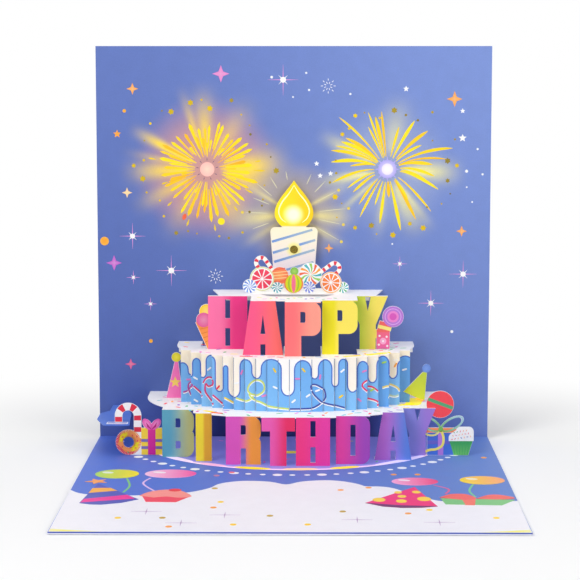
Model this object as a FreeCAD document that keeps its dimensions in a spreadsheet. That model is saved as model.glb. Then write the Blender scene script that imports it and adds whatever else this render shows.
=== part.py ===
"""A pop-up birthday card, open at a right angle: a folded card with a lit sound unit in its back leaf
and a three-tier paper cake that stands on its floor leaf.

Frame: +Z up, X along the spine fold, the viewer looks along +Y. The origin is under the middle of
the card. Pop-up pieces are drawn from the inner spine corner: y = 0 on the face of the back leaf,
negative towards the viewer, and z = 0 on the floor leaf.
"""
import FreeCAD, Part
import math
import os
import Sketcher
from FreeCAD import Placement, Rotation, Vector

SIZES = {
    # leaves of the card
    "leaf_width": "180",
    "floor_depth": "180",
    "back_height": "180",
    "cover_paper": "0.5",
    "liner_paper": "0.4",
    "core_depth": "3.6",
    "core_margin": "0.5",
    "spine_round": "0.45",
    # folded cake sheets
    "tier_paper": "0.4",
    "foot_tab": "6",
    "ring_tab": "4",
    "sheet_gap": "0.3",
    "back_tab": "5",
    "back_tab_inset": "6",
    "fold_shelf": "12",
    "lower_height": "21.2",
    "middle_rise": "23.5",
    "upper_rise": "24",
    "lower_half_width": "66.5",
    "lower_side": "13",
    "lower_bow": "52",
    "lower_shift": "0.1",
    "middle_half_width": "54",
    "middle_side": "10",
    "middle_bow": "41.5",
    "middle_shift": "1.0",
    "middle_leg": "11",
    "middle_rear_gap": "15",
    "slat_count": "21",
    "slat_pitch": "4.9",
    "slat_gap": "0.2",
    "upper_rear_half_width": "39",
    "upper_front_half_width": "35",
    "upper_depth": "22",
    "nose_half_width": "20.5",
    "nose_taper": "2.5",
    "nose_depth": "39",
    "upper_shift": "1.9",
    "upper_side": "4",
    "upper_bow": "41",
    "upper_edge_half_width": "36",
    "slot_width": "36",
    "slot_rear": "15",
    "slot_front": "25",
    "slot_round": "4",
    # die-cut letters
    "letter_stem": "7.2",
    "letter_slot": "2.2",
    "letter_bar": "6",
    "letter_bridge": "1.5",
    "letter_round": "4",
    "letter_lean": "3.4",
    "letter_lap": "1",
    # candle, flame, spacer and sensor
    "candle_stand_off": "3",
    "candle_top_width": "22",
    "candle_foot_width": "17.5",
    "candle_height": "28.8",
    "candle_round": "2.2",
    "candle_shift": "0.2",
    "sensor_hole": "3.7",
    "sensor_drop": "10.3",
    "sensor_bore": "6.3",
    "sensor_fit": "0.15",
    "sensor_length": "2.7",
    "lead_hole": "2",
    "spacer_border": "3.5",
    "flame_width": "17.4",
    "flame_height": "21.4",
    "flame_belly": "8",
    "flame_shoulder_lift": "1",
    # sound unit inside the back leaf
    "cavity_gap": "2",
    "board_side": "2.3",
    "board_edge": "4",
    "board_drop": "9.2",
    "board_thickness": "0.8",
    "board_waist": "34",
    "unit_gap": "2.5",
    "burst_spacing": "82.4",
    "burst_height": "124.1",
    "burst_shift": "1.6",
    "flame_light_height": "103.6",
    "light_flange": "5.8",
    "light_dome": "4.8",
    "light_flange_depth": "0.8",
    "light_dome_depth": "1.6",
    "cell_diameter": "11.6",
    "cell_thickness": "3.05",
    "cell_pitch": "12.6",
    "cell_fit": "0.1",
    "clip_wall": "1.2",
    "clip_floor": "0.3",
    "clip_inset": "6",
    "unit_height": "58",
    "speaker_diameter": "27",
    "speaker_magnet": "13",
    "speaker_depth": "3.3",
    "switch_width": "9",
    "switch_height": "4",
    "switch_depth": "1.6",
    "switch_edge": "1",
    # sweets on the top tier
    "sweets_paper": "0.4",
    "sweets_depth": "13",
    "sweets_base": "2.2",
    "sweets_half_width": "20.5",
    "small_cane_bend": "3.25",
    "small_cane_width": "1.9",
    "small_cane_end": "1.4",
    "small_cane_leg": "8",
    "left_cane_across": "-14.6",
    "left_cane_up": "13.9",
    "left_cane_lean": "35",
    "right_cane_across": "18.6",
    "right_cane_up": "11.4",
    "right_cane_lean": "53",
    # party pieces beside the cake
    "party_paper": "0.4",
    "party_tab": "5",
    "party_depth": "42",
    "hat_depth": "18",
    "hat_base": "7.9",
    "hat_tip": "1.6",
    "hat_height": "17",
    "hat_lean": "0.9",
    "hat_offset": "53.9",
    "pompom": "2.2",
    "pompom_rise": "18.8",
    "green_hat_rise": "1.2",
    "green_hat_foot": "59",
    "green_hat_foot_width": "1.6",
    "green_hat_side": "49.4",
    "green_hat_side_rise": "3.7",
    "green_hat_tip": "59",
    "green_hat_tip_width": "2",
    "green_hat_height": "12.6",
    "green_pompom": "1.9",
    "green_pompom_across": "59.7",
    "green_pompom_rise": "14.3",
    "ball_radius": "6.1",
    "ball_across": "65",
    "ball_rise": "1.7",
    "cone_scoop": "3.4",
    "cone_mouth": "12.1",
    "cone_top": "17",
    "cone_half_width": "6",
    "cone_tip": "1.2",
    "cone_offset": "0.2",
    "scoop_spread": "2.2",
    "scoop_lean": "0.8",
    "lolly_radius": "4.8",
    "lolly_across": "4.4",
    "lolly_rise": "14.7",
    "wrap_width": "6",
    "wrap_height": "9",
    "wrap_offset": "2",
    "wrap_wing": "4",
    "wrap_lean": "1.4",
    "strut_rise": "14.2",
    "strut_neck": "8.6",
    "strut_neck_across": "-79.5",
    "strut_middle": "-77.5",
    "strut_half_width": "10",
    "strut_neck_length": "14",
    "strut_shoulder": "20",
    "strut_belly": "34",
    "strut_reach": "48",
    "strut_round": "5",
    "strut_slot_width": "8.2",
    "strut_slot_depth": "1.6",
    "strut_slot_gap": "0.5",
    "donut_across": "-72.8",
    "donut_radius": "5.7",
    "donut_hole": "2.4",
    "cane_across": "-72.9",
    "cane_bend": "5.9",
    "cane_width": "3.4",
    "cane_end": "2.9",
    "left_tab_width": "12",
    "gift_width": "9.4",
    "gift_height": "12.2",
    "bow_reach": "6",
    "bow_width": "3.6",
    "bow_sink": "1",
    "box_right": "72.4",
    "box_height": "10.2",
    "lid_height": "2.2",
    "lid_overhang": "0.4",
    "knot_across": "65.4",
    "ribbon_width": "1.2",
    "loop_reach": "11.5",
    "loop_width": "5.6",
    "cup_across": "74.4",
    "cup_top": "10.4",
    "cup_foot": "6.6",
    "cup_height": "6.4",
    "icing_overhang": "0.4",
    "icing_rise": "6.4",
    "icing_crown": "7.4",
    "icing_round": "2.2",
}

# Letters of the two greeting rows: glyph, left edge and width, from the middle of the card.
LOWER_ROW = [
    ("B", "-57.5", "14"),
    ("I", "-42.2", "7"),
    ("R", "-28.8", "15.1"),
    ("T", "-13.3", "14.4"),
    ("H", "1.5", "14.7"),
    ("D", "18.8", "14.7"),
    ("A", "35.8", "16.2"),
    ("Y", "47.1", "15.9"),
]
UPPER_ROW = [
    ("H", "-38.2", "17.6"),
    ("A", "-22.1", "17.8"),
    ("P", "-3.5", "15.8"),
    ("P", "12.9", "15.6"),
    ("Y", "24.5", "17.9"),
]

# Round sweets of the top tier: name, place across, height of the middle and radius.
SWEETS = [
    ("grapefruit", "-14.2", "6.5", "5.6"),
    ("blue_mint", "-19.8", "3.2", "3.2"),
    ("wrapped_sweet", "-6.2", "8", "4"),
    ("teal_mint", "-7.3", "2.6", "2.6"),
    ("striped_sweet", "0.1", "4.4", "4.4"),
    ("green_knot", "0.4", "10", "1.9"),
    ("swirl_sweet", "7.7", "8.6", "5.3"),
    ("violet_mint", "7.2", "2.8", "2.8"),
    ("orange_slice", "17", "4.9", "4.9"),
    ("end_mint", "22.5", "2.6", "2.6"),
]

# Heights inside a letter, as shares of the letter's height.
WAIST = 0.46
COUNTER_LOW = 0.62
COUNTER_HIGH = 0.82
NOTCH = 0.72
LEG_TOP = 0.34
BOWL_FOOT = 0.38
SLANT_COUNTER_LOW = 0.39
SLANT_COUNTER_TIP = 0.74
SLANT_GAP_TOP = 0.2

# Widths as shares: the arms of the letter Y, the flame's foot and shoulder, the slot's front.
ARM_INSET = 0.6
FLAME_FOOT = 0.55
FLAME_SHOULDER = 0.5
SLOT_FRONT = 0.7

# Two heights this near each other, in millimetres, are the same fold line.
SAME = 1e-6

# Angles of the bow loops above the X axis, in degrees.
BOW_LEAN = 52
LOOP_LEAN = 30

doc = FreeCAD.newDocument("pop_up_card")
sheet = doc.addObject("Spreadsheet::Sheet", "dims")
for tier_name, row in (("lower", LOWER_ROW), ("upper", UPPER_ROW)):
    for place, (glyph, left, width) in enumerate(row):
        SIZES[f"{tier_name}_left_{'abcdefgh'[place]}"] = left
        SIZES[f"{tier_name}_width_{'abcdefgh'[place]}"] = width
for sweet_name, across, up, radius in SWEETS:
    SIZES[f"{sweet_name}_across"] = across
    SIZES[f"{sweet_name}_up"] = up
    SIZES[f"{sweet_name}_radius"] = radius
for line, (alias, value) in enumerate(SIZES.items(), start=1):
    sheet.set(f"A{line}", alias)
    sheet.set(f"B{line}", value)
    sheet.setAlias(f"B{line}", alias)
doc.recompute()

# Lengths worked out from the sheet, written once for every expression that needs them.
FLOOR_TOP = "(dims.cover_paper + dims.liner_paper)"
BACK_DEPTH = "(dims.cover_paper + dims.core_depth + dims.liner_paper)"
SPINE_Y = f"((dims.floor_depth - {BACK_DEPTH}) / 2)"
CORE_REAR = "(dims.liner_paper + dims.core_depth)"
BOARD_HALF = "(dims.burst_spacing / 2 + abs(dims.burst_shift) + dims.light_flange / 2 + dims.board_side)"
BOARD_HIGH = "(dims.burst_height + dims.light_flange / 2 + dims.board_edge)"
BOARD_SHOULDER = "(dims.burst_height - dims.light_flange / 2 - dims.board_drop)"
BOARD_LOW = "(dims.unit_height + dims.speaker_diameter / 2 + dims.unit_gap)"
CAVITY_HALF = f"({BOARD_HALF} + dims.cavity_gap)"
CAVITY_HIGH = f"({BOARD_HIGH} + dims.cavity_gap)"
CAVITY_LOW = "(dims.unit_height - dims.speaker_diameter / 2 - dims.cavity_gap)"

CELL_COUNT = 3
SEAT_HALF = "(dims.cell_diameter / 2 + dims.cell_fit + dims.clip_wall)"
CLIP_LEFT = f"(dims.clip_inset - {CAVITY_HALF})"
CELL_FIRST = f"({CLIP_LEFT} + {SEAT_HALF})"
CLIP_RIGHT = f"({CELL_FIRST} + {CELL_COUNT - 1} * dims.cell_pitch + {SEAT_HALF})"

sub_parts = []


def size(alias):
    """One driving dimension, in millimetres."""
    return float(sheet.get(alias))


PAPER = size("tier_paper")
LOWER_TOP = size("lower_height")
MIDDLE_TOP = LOWER_TOP + size("middle_rise")
UPPER_TOP = MIDDLE_TOP + size("upper_rise")


# Placing the sub-parts

def at_spine(thing, across="0", depth="0", rise="0"):
    """Places a sub-part from the inner spine corner, depth towards the viewer."""
    thing.setExpression("Placement.Base.x", across)
    thing.setExpression("Placement.Base.y", f"{SPINE_Y} - ({depth})")
    thing.setExpression("Placement.Base.z", f"{FLOOR_TOP} + ({rise})")


def kept(thing, label):
    """Names a finished sub-part and puts it on the list that is written out."""
    thing.Label = label
    sub_parts.append(thing)
    return thing


def shaped(label, shape):
    """A sub-part whose form is cut and folded from sheets by the functions below."""
    feature = doc.addObject("Part::Feature", label)
    feature.Shape = shape.removeSplitter()
    at_spine(feature)
    return kept(feature, label)


# Sketched bodies

def origin_plane(body, role):
    """One of a body's own origin planes."""
    return next(item for item in body.Origin.OriginFeatures if item.Role == role)


def new_sketch(body, name, role):
    sketch = body.newObject("Sketcher::SketchObject", name)
    sketch.AttachmentSupport = [(origin_plane(body, role), "")]
    sketch.MapMode = "FlatFace"
    return sketch


def sketch_corners(sketch, corners):
    """A closed outline; each corner is held by two lengths bound to the sheet."""
    first = sketch.GeometryCount
    count = len(corners)
    for index in range(count):
        here = Vector(index, index * index, 0)
        there = Vector((index + 1) % count, ((index + 1) % count) ** 2, 0)
        sketch.addGeometry(Part.LineSegment(here, there), False)
    for index in range(count):
        following = first + (index + 1) % count
        sketch.addConstraint(Sketcher.Constraint("Coincident", first + index, 2, following, 1))
    for index, (across, up) in enumerate(corners):
        for kind, expression in (("DistanceX", across), ("DistanceY", up)):
            number = sketch.addConstraint(Sketcher.Constraint(kind, -1, 1, first + index, 1, 1.0))
            sketch.setExpression(f"Constraints[{number}]", expression)


def sketch_circle(sketch, across, up, radius):
    """A circle whose centre and radius are bound to the sheet."""
    circle = sketch.addGeometry(Part.Circle(Vector(1, 1, 0), Vector(0, 0, 1), 2.0), False)
    for kind, expression in (("DistanceX", across), ("DistanceY", up)):
        number = sketch.addConstraint(Sketcher.Constraint(kind, -1, 1, circle, 3, 1.0))
        sketch.setExpression(f"Constraints[{number}]", expression)
    number = sketch.addConstraint(Sketcher.Constraint("Radius", circle, 2.0))
    sketch.setExpression(f"Constraints[{number}]", radius)


def pad(body, sketch, length, reverse=False, both_ways=False):
    feature = body.newObject("PartDesign::Pad", sketch.Name + "_pad")
    feature.Profile = sketch
    feature.setExpression("Length", length)
    feature.Reversed = reverse
    feature.Midplane = both_ways
    sketch.Visibility = False
    doc.recompute()
    return feature


def pocket_through(body, sketch):
    """Cuts a sketch right through the body, and makes sure that it took something away."""
    before = body.Shape.Volume
    feature = body.newObject("PartDesign::Pocket", sketch.Name + "_pocket")
    feature.Profile = sketch
    feature.Type = "ThroughAll"
    feature.Midplane = True
    doc.recompute()
    if body.Shape.Volume >= before:
        raise RuntimeError(f"{feature.Name} cuts nothing")
    return feature


def rectangle(left, low, right, high):
    return [(left, low), (right, low), (right, high), (left, high)]


def folded_leaf(label, floor_low, floor_high, rear, front):
    """A sheet folded once along the spine: floor part and upright part in one profile."""
    body = doc.addObject("PartDesign::Body", label)
    profile = new_sketch(body, label + "_profile", "YZ_Plane")
    sketch_corners(profile, [
        ("-dims.floor_depth", floor_low),
        (rear, floor_low),
        (rear, "dims.back_height"),
        (front, "dims.back_height"),
        (front, floor_high),
        ("-dims.floor_depth", floor_high),
    ])
    pad(body, profile, "dims.leaf_width", both_ways=True)
    at_spine(body)
    return body


def cover():
    """Outer card: one folded sheet, rounded where it bends round the spine."""
    rear = f"{CORE_REAR} + dims.cover_paper"
    body = folded_leaf("cover", f"-{FLOOR_TOP}", "-dims.liner_paper", rear, CORE_REAR)
    lowest = -(size("cover_paper") + size("liner_paper"))
    farthest = size("liner_paper") + size("core_depth") + size("cover_paper")
    base = body.Tip
    corner = [
        index for index, edge in enumerate(base.Shape.Edges, start=1)
        if abs(edge.CenterOfMass.z - lowest) < SAME and abs(edge.CenterOfMass.y - farthest) < SAME
        and abs(edge.CenterOfMass.x) < SAME
    ]
    bend = body.newObject("PartDesign::Fillet", "spine_bend")
    bend.Base = (base, [f"Edge{number}" for number in corner])
    bend.setExpression("Radius", "dims.spine_round")
    doc.recompute()
    return kept(body, "cover")


def liner():
    """Printed inner sheet, folded once, with a small hole for the sensor's leads."""
    body = folded_leaf("liner", "-dims.liner_paper", "0", "dims.liner_paper", "0")
    hole = new_sketch(body, "lead_hole_sketch", "XZ_Plane")
    sketch_circle(hole, "dims.candle_shift", SENSOR_HEIGHT, "dims.lead_hole / 2")
    pocket_through(body, hole)
    return kept(body, "liner")


# The sensor sits a named drop below the candle's top edge, and the candle stands on the top tier.
CANDLE_FOOT = "(dims.lower_height + dims.middle_rise + dims.upper_rise)"
CANDLE_TOP = f"({CANDLE_FOOT} + dims.tier_paper + dims.candle_height)"
SENSOR_HEIGHT = f"({CANDLE_TOP} - dims.sensor_drop)"


def core():
    """Foam board that fills the back leaf, open where the sound unit lies."""
    body = doc.addObject("PartDesign::Body", "core")
    outline = new_sketch(body, "core_outline", "XZ_Plane")
    half = "(dims.leaf_width / 2 - dims.core_margin)"
    sketch_corners(outline, rectangle(
        f"-{half}", "-dims.liner_paper", half, "dims.back_height - dims.core_margin"))
    pad(body, outline, "dims.core_depth", reverse=True)
    window = new_sketch(body, "cavity", "XZ_Plane")
    sketch_corners(window, rectangle(f"-{CAVITY_HALF}", CAVITY_LOW, CAVITY_HALF, CAVITY_HIGH))
    pocket_through(body, window)
    at_spine(body, depth="-dims.liner_paper")
    return kept(body, "core")


def circuit_board():
    """Board with a wide top for the two burst lights and a narrow foot for the sensor."""
    body = doc.addObject("PartDesign::Body", "circuit_board")
    outline = new_sketch(body, "board_outline", "XZ_Plane")
    sketch_corners(outline, [
        ("-dims.board_waist / 2", BOARD_LOW),
        ("dims.board_waist / 2", BOARD_LOW),
        ("dims.board_waist / 2", BOARD_SHOULDER),
        (BOARD_HALF, BOARD_SHOULDER),
        (BOARD_HALF, BOARD_HIGH),
        (f"-{BOARD_HALF}", BOARD_HIGH),
        (f"-{BOARD_HALF}", BOARD_SHOULDER),
        ("-dims.board_waist / 2", BOARD_SHOULDER),
    ])
    pad(body, outline, "dims.board_thickness")
    at_spine(body, depth=f"-{CORE_REAR}")
    return kept(body, "circuit_board")


def turned(label, profile, across, rise, face_depth):
    """A round piece turned about the Y axis; its profile is radius against depth."""
    body = doc.addObject("PartDesign::Body", label)
    sketch = new_sketch(body, label + "_profile", "XY_Plane")
    sketch_corners(sketch, profile)
    spin = body.newObject("PartDesign::Revolution", label + "_turned")
    spin.Profile = sketch
    spin.ReferenceAxis = (sketch, ["V_Axis"])
    spin.Angle = 360.0
    sketch.Visibility = False
    at_spine(body, across, face_depth, rise)
    doc.recompute()
    return kept(body, label)


def light(label, across, rise):
    """Flat-topped light with a soldered flange, standing on the board."""
    profile = [
        ("0", "0"),
        ("dims.light_flange / 2", "0"),
        ("dims.light_flange / 2", "-dims.light_flange_depth"),
        ("dims.light_dome / 2", "-dims.light_flange_depth"),
        ("dims.light_dome / 2", "-dims.light_flange_depth - dims.light_dome_depth"),
        ("0", "-dims.light_flange_depth - dims.light_dome_depth"),
    ]
    return turned(label, profile, across, rise, f"dims.board_thickness - {CORE_REAR}")


def speaker():
    """Thin round speaker: a shallow dish with its magnet behind."""
    profile = [
        ("0", "0"),
        ("dims.speaker_magnet / 2", "0"),
        ("dims.speaker_magnet / 2", "-dims.speaker_depth / 2"),
        ("dims.speaker_diameter / 2", "-dims.speaker_depth / 2"),
        ("dims.speaker_diameter / 2", "-dims.speaker_depth"),
        ("0", "-dims.speaker_depth"),
    ]
    across = f"{CLIP_RIGHT} + dims.unit_gap + dims.speaker_diameter / 2"
    return turned("speaker", profile, across, "dims.unit_height", f"-{CORE_REAR}")


def microphone():
    """Round sensor capsule behind the hole in the candle."""
    profile = [
        ("0", "0"),
        ("dims.sensor_bore / 2 - dims.sensor_fit", "0"),
        ("dims.sensor_bore / 2 - dims.sensor_fit", "-dims.sensor_length"),
        ("0", "-dims.sensor_length"),
    ]
    return turned("microphone", profile, "dims.candle_shift", SENSOR_HEIGHT, "0")


def cell_clip():
    """Tray for the button cells, with one round seat repeated along it."""
    body = doc.addObject("PartDesign::Body", "cell_clip")
    outline = new_sketch(body, "clip_outline", "XZ_Plane")
    sketch_corners(outline, rectangle(CLIP_LEFT, f"-{SEAT_HALF}", CLIP_RIGHT, SEAT_HALF))
    pad(body, outline, "dims.clip_floor + dims.cell_thickness")
    seat = new_sketch(body, "cell_seat", "XZ_Plane")
    seat.setExpression("AttachmentOffset.Base.z", "dims.clip_floor + dims.cell_thickness")
    sketch_circle(seat, CELL_FIRST, "0", "dims.cell_diameter / 2 + dims.cell_fit")
    before = body.Shape.Volume
    cut = body.newObject("PartDesign::Pocket", "cell_seat_pocket")
    cut.Profile = seat
    cut.setExpression("Length", "dims.cell_thickness")
    doc.recompute()
    row = body.newObject("PartDesign::LinearPattern", "cell_seats")
    row.Originals = [cut]
    row.Direction = (outline, ["H_Axis"])
    row.setExpression("Length", f"{CELL_COUNT - 1} * dims.cell_pitch")
    row.Occurrences = CELL_COUNT
    body.Tip = row
    at_spine(body, depth=f"-{CORE_REAR}", rise="dims.unit_height")
    doc.recompute()
    if body.Shape.Volume >= before:
        raise RuntimeError("the cell seats cut nothing")
    return kept(body, "cell_clip")


def button_cell(index):
    """One button cell, lying in its seat."""
    cell = doc.addObject("Part::Cylinder", f"button_cell_{index + 1}")
    cell.setExpression("Radius", "dims.cell_diameter / 2")
    cell.setExpression("Height", "dims.cell_thickness")
    cell.Placement = Placement(Vector(), Rotation(Vector(1, 0, 0), 90))
    at_spine(cell, f"{CELL_FIRST} + {index} * dims.cell_pitch", f"dims.clip_floor - {CORE_REAR}",
             "dims.unit_height")
    return kept(cell, f"button_cell_{index + 1}")


def slide_switch():
    """Small switch block soldered on the narrow foot of the board."""
    block = doc.addObject("Part::Box", "slide_switch")
    block.setExpression("Length", "dims.switch_width")
    block.setExpression("Width", "dims.switch_depth")
    block.setExpression("Height", "dims.switch_height")
    at_spine(block, "-dims.switch_width / 2",
             f"dims.board_thickness + dims.switch_depth - {CORE_REAR}",
             f"{BOARD_LOW} + dims.switch_edge")
    return kept(block, "slide_switch")


# Cutting flat sheets

def outline(corners, flat=False, depth=0.0):
    """A face inside straight runs joined by tangent arcs; each corner is across, up, rounding."""
    def point(across, up):
        return Vector(across, up, depth) if flat else Vector(across, depth, up)

    starts = []
    ends = []
    arcs = []
    count = len(corners)
    for index, (across, up, rounding) in enumerate(corners):
        here = point(across, up)
        back = point(*corners[index - 1][:2]) - here
        ahead = point(*corners[(index + 1) % count][:2]) - here
        back.normalize()
        ahead.normalize()
        if rounding <= 0:
            starts.append(here)
            ends.append(here)
            arcs.append(None)
            continue
        half_turn = back.getAngle(ahead) / 2
        run = rounding / math.tan(half_turn)
        middle = back + ahead
        middle.normalize()
        crown = here + middle * (rounding / math.sin(half_turn) - rounding)
        starts.append(here + back * run)
        ends.append(here + ahead * run)
        arcs.append(Part.Arc(starts[-1], crown, ends[-1]).toShape())
    edges = []
    for index in range(count):
        if arcs[index]:
            edges.append(arcs[index])
        following = starts[(index + 1) % count]
        if ends[index].distanceToPoint(following) > SAME:
            edges.append(Part.makeLine(ends[index], following))
    return Part.Face(Part.Wire(edges))


def block(left, low, right, high, lower_right=0, upper_right=0):
    """An upright rectangle whose right corners may be rounded."""
    return outline([
        (left, low, 0),
        (right, low, lower_right),
        (right, high, upper_right),
        (left, high, 0),
    ])


def disc(across, up, radius):
    ring = Part.makeCircle(radius, Vector(across, 0, up), Vector(0, 1, 0))
    return Part.Face(Part.Wire(ring))


def petal(across, up, reach, width, lean):
    """An oval loop that starts at a point and reaches out at an angle from the X axis."""
    turn = math.radians(lean)
    along = Vector(math.cos(turn), 0, math.sin(turn))
    aside = Vector(-math.sin(turn), 0, math.cos(turn))
    centre = Vector(across, 0, up) + along * (reach / 2)
    oval = Part.Ellipse(centre + along * (reach / 2), centre + aside * (width / 2), centre)
    return Part.Face(Part.Wire(oval.toShape()))


def joined(shapes):
    first, *others = shapes
    return first.fuse(others) if others else first


def cut_away(shape, tools):
    return shape.cut(joined(tools))


def upright(face, depth, paper):
    """Turns an upright face into a sheet whose front is a named depth before the back leaf."""
    forward = FreeCAD.Matrix()
    forward.move(Vector(0, -depth, 0))
    pieces = [piece.extrude(Vector(0, paper, 0)) for piece in face.Faces]
    return joined(pieces).removeSplitter().transformed(forward, copy=True)


def slab(left, right, front, rear, low, thickness):
    """A flat strip of paper; front and rear are depths before the back leaf."""
    return Part.makeBox(right - left, front - rear, thickness, Vector(left, -front, low))


# Letters, drawn in a plain block face from a few strokes

def letter_face(glyph, width, height):
    stem = size("letter_stem")
    slot = size("letter_slot")
    bar = size("letter_bar")
    bridge = size("letter_bridge")
    turn = size("letter_round")
    lean = size("letter_lean")
    middle = width / 2
    stem = min(stem, middle - slot / 2 + size("letter_lap"))
    counter_left = middle - slot / 2
    counter_right = middle + slot / 2
    if glyph == "I":
        return block(0, 0, width, height)
    if glyph == "T":
        return joined([block(0, height - bar, width, height),
                       block(middle - stem / 2, 0, middle + stem / 2, height)])
    if glyph == "H":
        return cut_away(block(0, 0, width, height), [
            block(counter_left, bridge, counter_right, height * WAIST - bridge),
            block(counter_left, height * WAIST + bar / 2, counter_right, height - bridge),
        ])
    if glyph == "D":
        return cut_away(block(0, 0, width, height, turn, turn), [
            block(counter_left, height * (1 - COUNTER_HIGH), counter_right, height * COUNTER_HIGH)])
    if glyph == "A":
        slant = outline([(0, 0, 0), (width, 0, 0), (width - lean, height, 0), (lean, height, 0)])
        counter = outline([
            (counter_left, height * SLANT_COUNTER_LOW, 0),
            (counter_right, height * SLANT_COUNTER_LOW, 0),
            (middle, height * SLANT_COUNTER_TIP, 0),
        ])
        gap = block(counter_left, 0, counter_right, height * SLANT_GAP_TOP)
        return cut_away(slant, [counter, gap])
    if glyph == "Y":
        arm = middle - slot * ARM_INSET
        return outline([
            (0, height, 0),
            (middle - stem / 2, height * WAIST, 0),
            (middle - stem / 2, 0, 0),
            (middle + stem / 2, 0, 0),
            (middle + stem / 2, height * WAIST, 0),
            (width, height, 0),
            (width - arm, height, 0),
            (middle, height * NOTCH, 0),
            (arm, height, 0),
        ])
    counter = block(counter_left, height * COUNTER_LOW, counter_right, height * COUNTER_HIGH,
                    slot / 3, slot / 3)
    bowl = block(0, height * WAIST, width, height, turn, turn)
    if glyph == "P":
        deep_bowl = block(0, height * BOWL_FOOT, width, height, turn, turn)
        return cut_away(joined([deep_bowl, block(0, 0, stem, height)]), [counter])
    if glyph == "R":
        leg = block(0, 0, width, height * WAIST + turn / 2, 0, turn / 2)
        gap = block(counter_left, 0, counter_right, height * LEG_TOP)
        return cut_away(joined([bowl, leg]), [counter, gap])
    lower_bowl = block(0, 0, width, height * WAIST + turn / 2, turn, turn / 2)
    lower_counter = block(counter_left, height * (1 - COUNTER_HIGH), counter_right,
                          height * LEG_TOP, slot / 3, slot / 3)
    return cut_away(joined([bowl, lower_bowl]), [counter, lower_counter])


def top_inset(glyph):
    """How far a letter's top edge starts inside its width."""
    return size("letter_lean") if glyph == "A" else 0.0


def letter_row(tier_name, row, edge):
    """Letters of a row with their left edge, width and depth before the back leaf."""
    letters = []
    for place, (glyph, _, _) in enumerate(row):
        left = size(f"{tier_name}_left_{'abcdefgh'[place]}")
        width = size(f"{tier_name}_width_{'abcdefgh'[place]}")
        letters.append((glyph, left, width, edge(left + width / 2)))
    return letters


def feet(panel, low):
    """Left and right ends of each place where a panel reaches its foot line."""
    return [
        (face.BoundBox.XMin, face.BoundBox.XMax) for face in panel.Faces
        if face.BoundBox.ZMax < low + SAME
    ]


# Cake tiers: each is one sheet, cut and folded

def half_oval(half_width, side, bow, shift, low):
    """A tier's top: straight sides from the back leaf, then half of an oval."""
    centre = Vector(shift, -side, low)
    oval = Part.Ellipse(centre, half_width, bow)
    rim = Part.ArcOfEllipse(oval, math.pi, 2 * math.pi).toShape()
    corners = [
        Vector(shift + half_width, -side, low),
        Vector(shift + half_width, 0, low),
        Vector(shift - half_width, 0, low),
        Vector(shift - half_width, -side, low),
    ]
    sides = [Part.makeLine(corners[index], corners[index + 1]) for index in range(3)]
    return Part.Face(Part.Wire([rim] + sides)).extrude(Vector(0, 0, PAPER))


def edge_depth(across, half_width, side, bow, shift):
    """Depth of a tier's curved front edge before the back leaf."""
    share = max(0.0, 1 - ((across - shift) / half_width) ** 2)
    return side + bow * math.sqrt(share)


def folded_front(top, panels, high):
    """Trims a tier's top to each fold line; panels are left, right and depth."""
    reach = size("floor_depth")
    shelf = size("fold_shelf")
    fronts = [slab(left, right, reach, depth, high - PAPER, PAPER) for left, right, depth in panels]
    shelves = [
        slab(left, right, depth, depth - shelf, high - PAPER, PAPER)
        for left, right, depth in panels
    ]
    return top.cut(fronts).fuse(shelves)


def lower_edge(across):
    return edge_depth(across, size("lower_half_width"), size("lower_side"), size("lower_bow"),
                      size("lower_shift"))


def middle_edge(across):
    return edge_depth(across, size("middle_half_width"), size("middle_side"), size("middle_bow"),
                      size("middle_shift"))


def upper_edge(across):
    return edge_depth(across, size("upper_edge_half_width"), size("upper_side"),
                      size("upper_bow"), size("upper_shift"))


def lower_tier():
    """Bottom tier: curved top sheet and eight letters folded down to the floor leaf."""
    high = LOWER_TOP
    half_width = size("lower_half_width")
    shift = size("lower_shift")
    top = half_oval(half_width, size("lower_side"), size("lower_bow"), shift, high - PAPER)
    letters = letter_row("lower", LOWER_ROW, lower_edge)
    folds = [
        (left + top_inset(glyph), left + width - top_inset(glyph), depth)
        for glyph, left, width, depth in letters
    ]
    pieces = [folded_front(top, folds, high)]
    for glyph, left, width, depth in letters:
        face = letter_face(glyph, width, high)
        face.translate(Vector(left, 0, 0))
        panel = upright(face, depth, PAPER)
        pieces.append(panel)
        for foot_left, foot_right in feet(panel, 0):
            pieces.append(slab(foot_left, foot_right, depth, depth - size("foot_tab"), 0, PAPER))
    inset = half_width - size("back_tab_inset")
    pieces.append(slab(shift - inset, shift + inset, PAPER, 0, high - size("back_tab"),
                       size("back_tab")))
    return shaped("lower_tier", joined(pieces))


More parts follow.
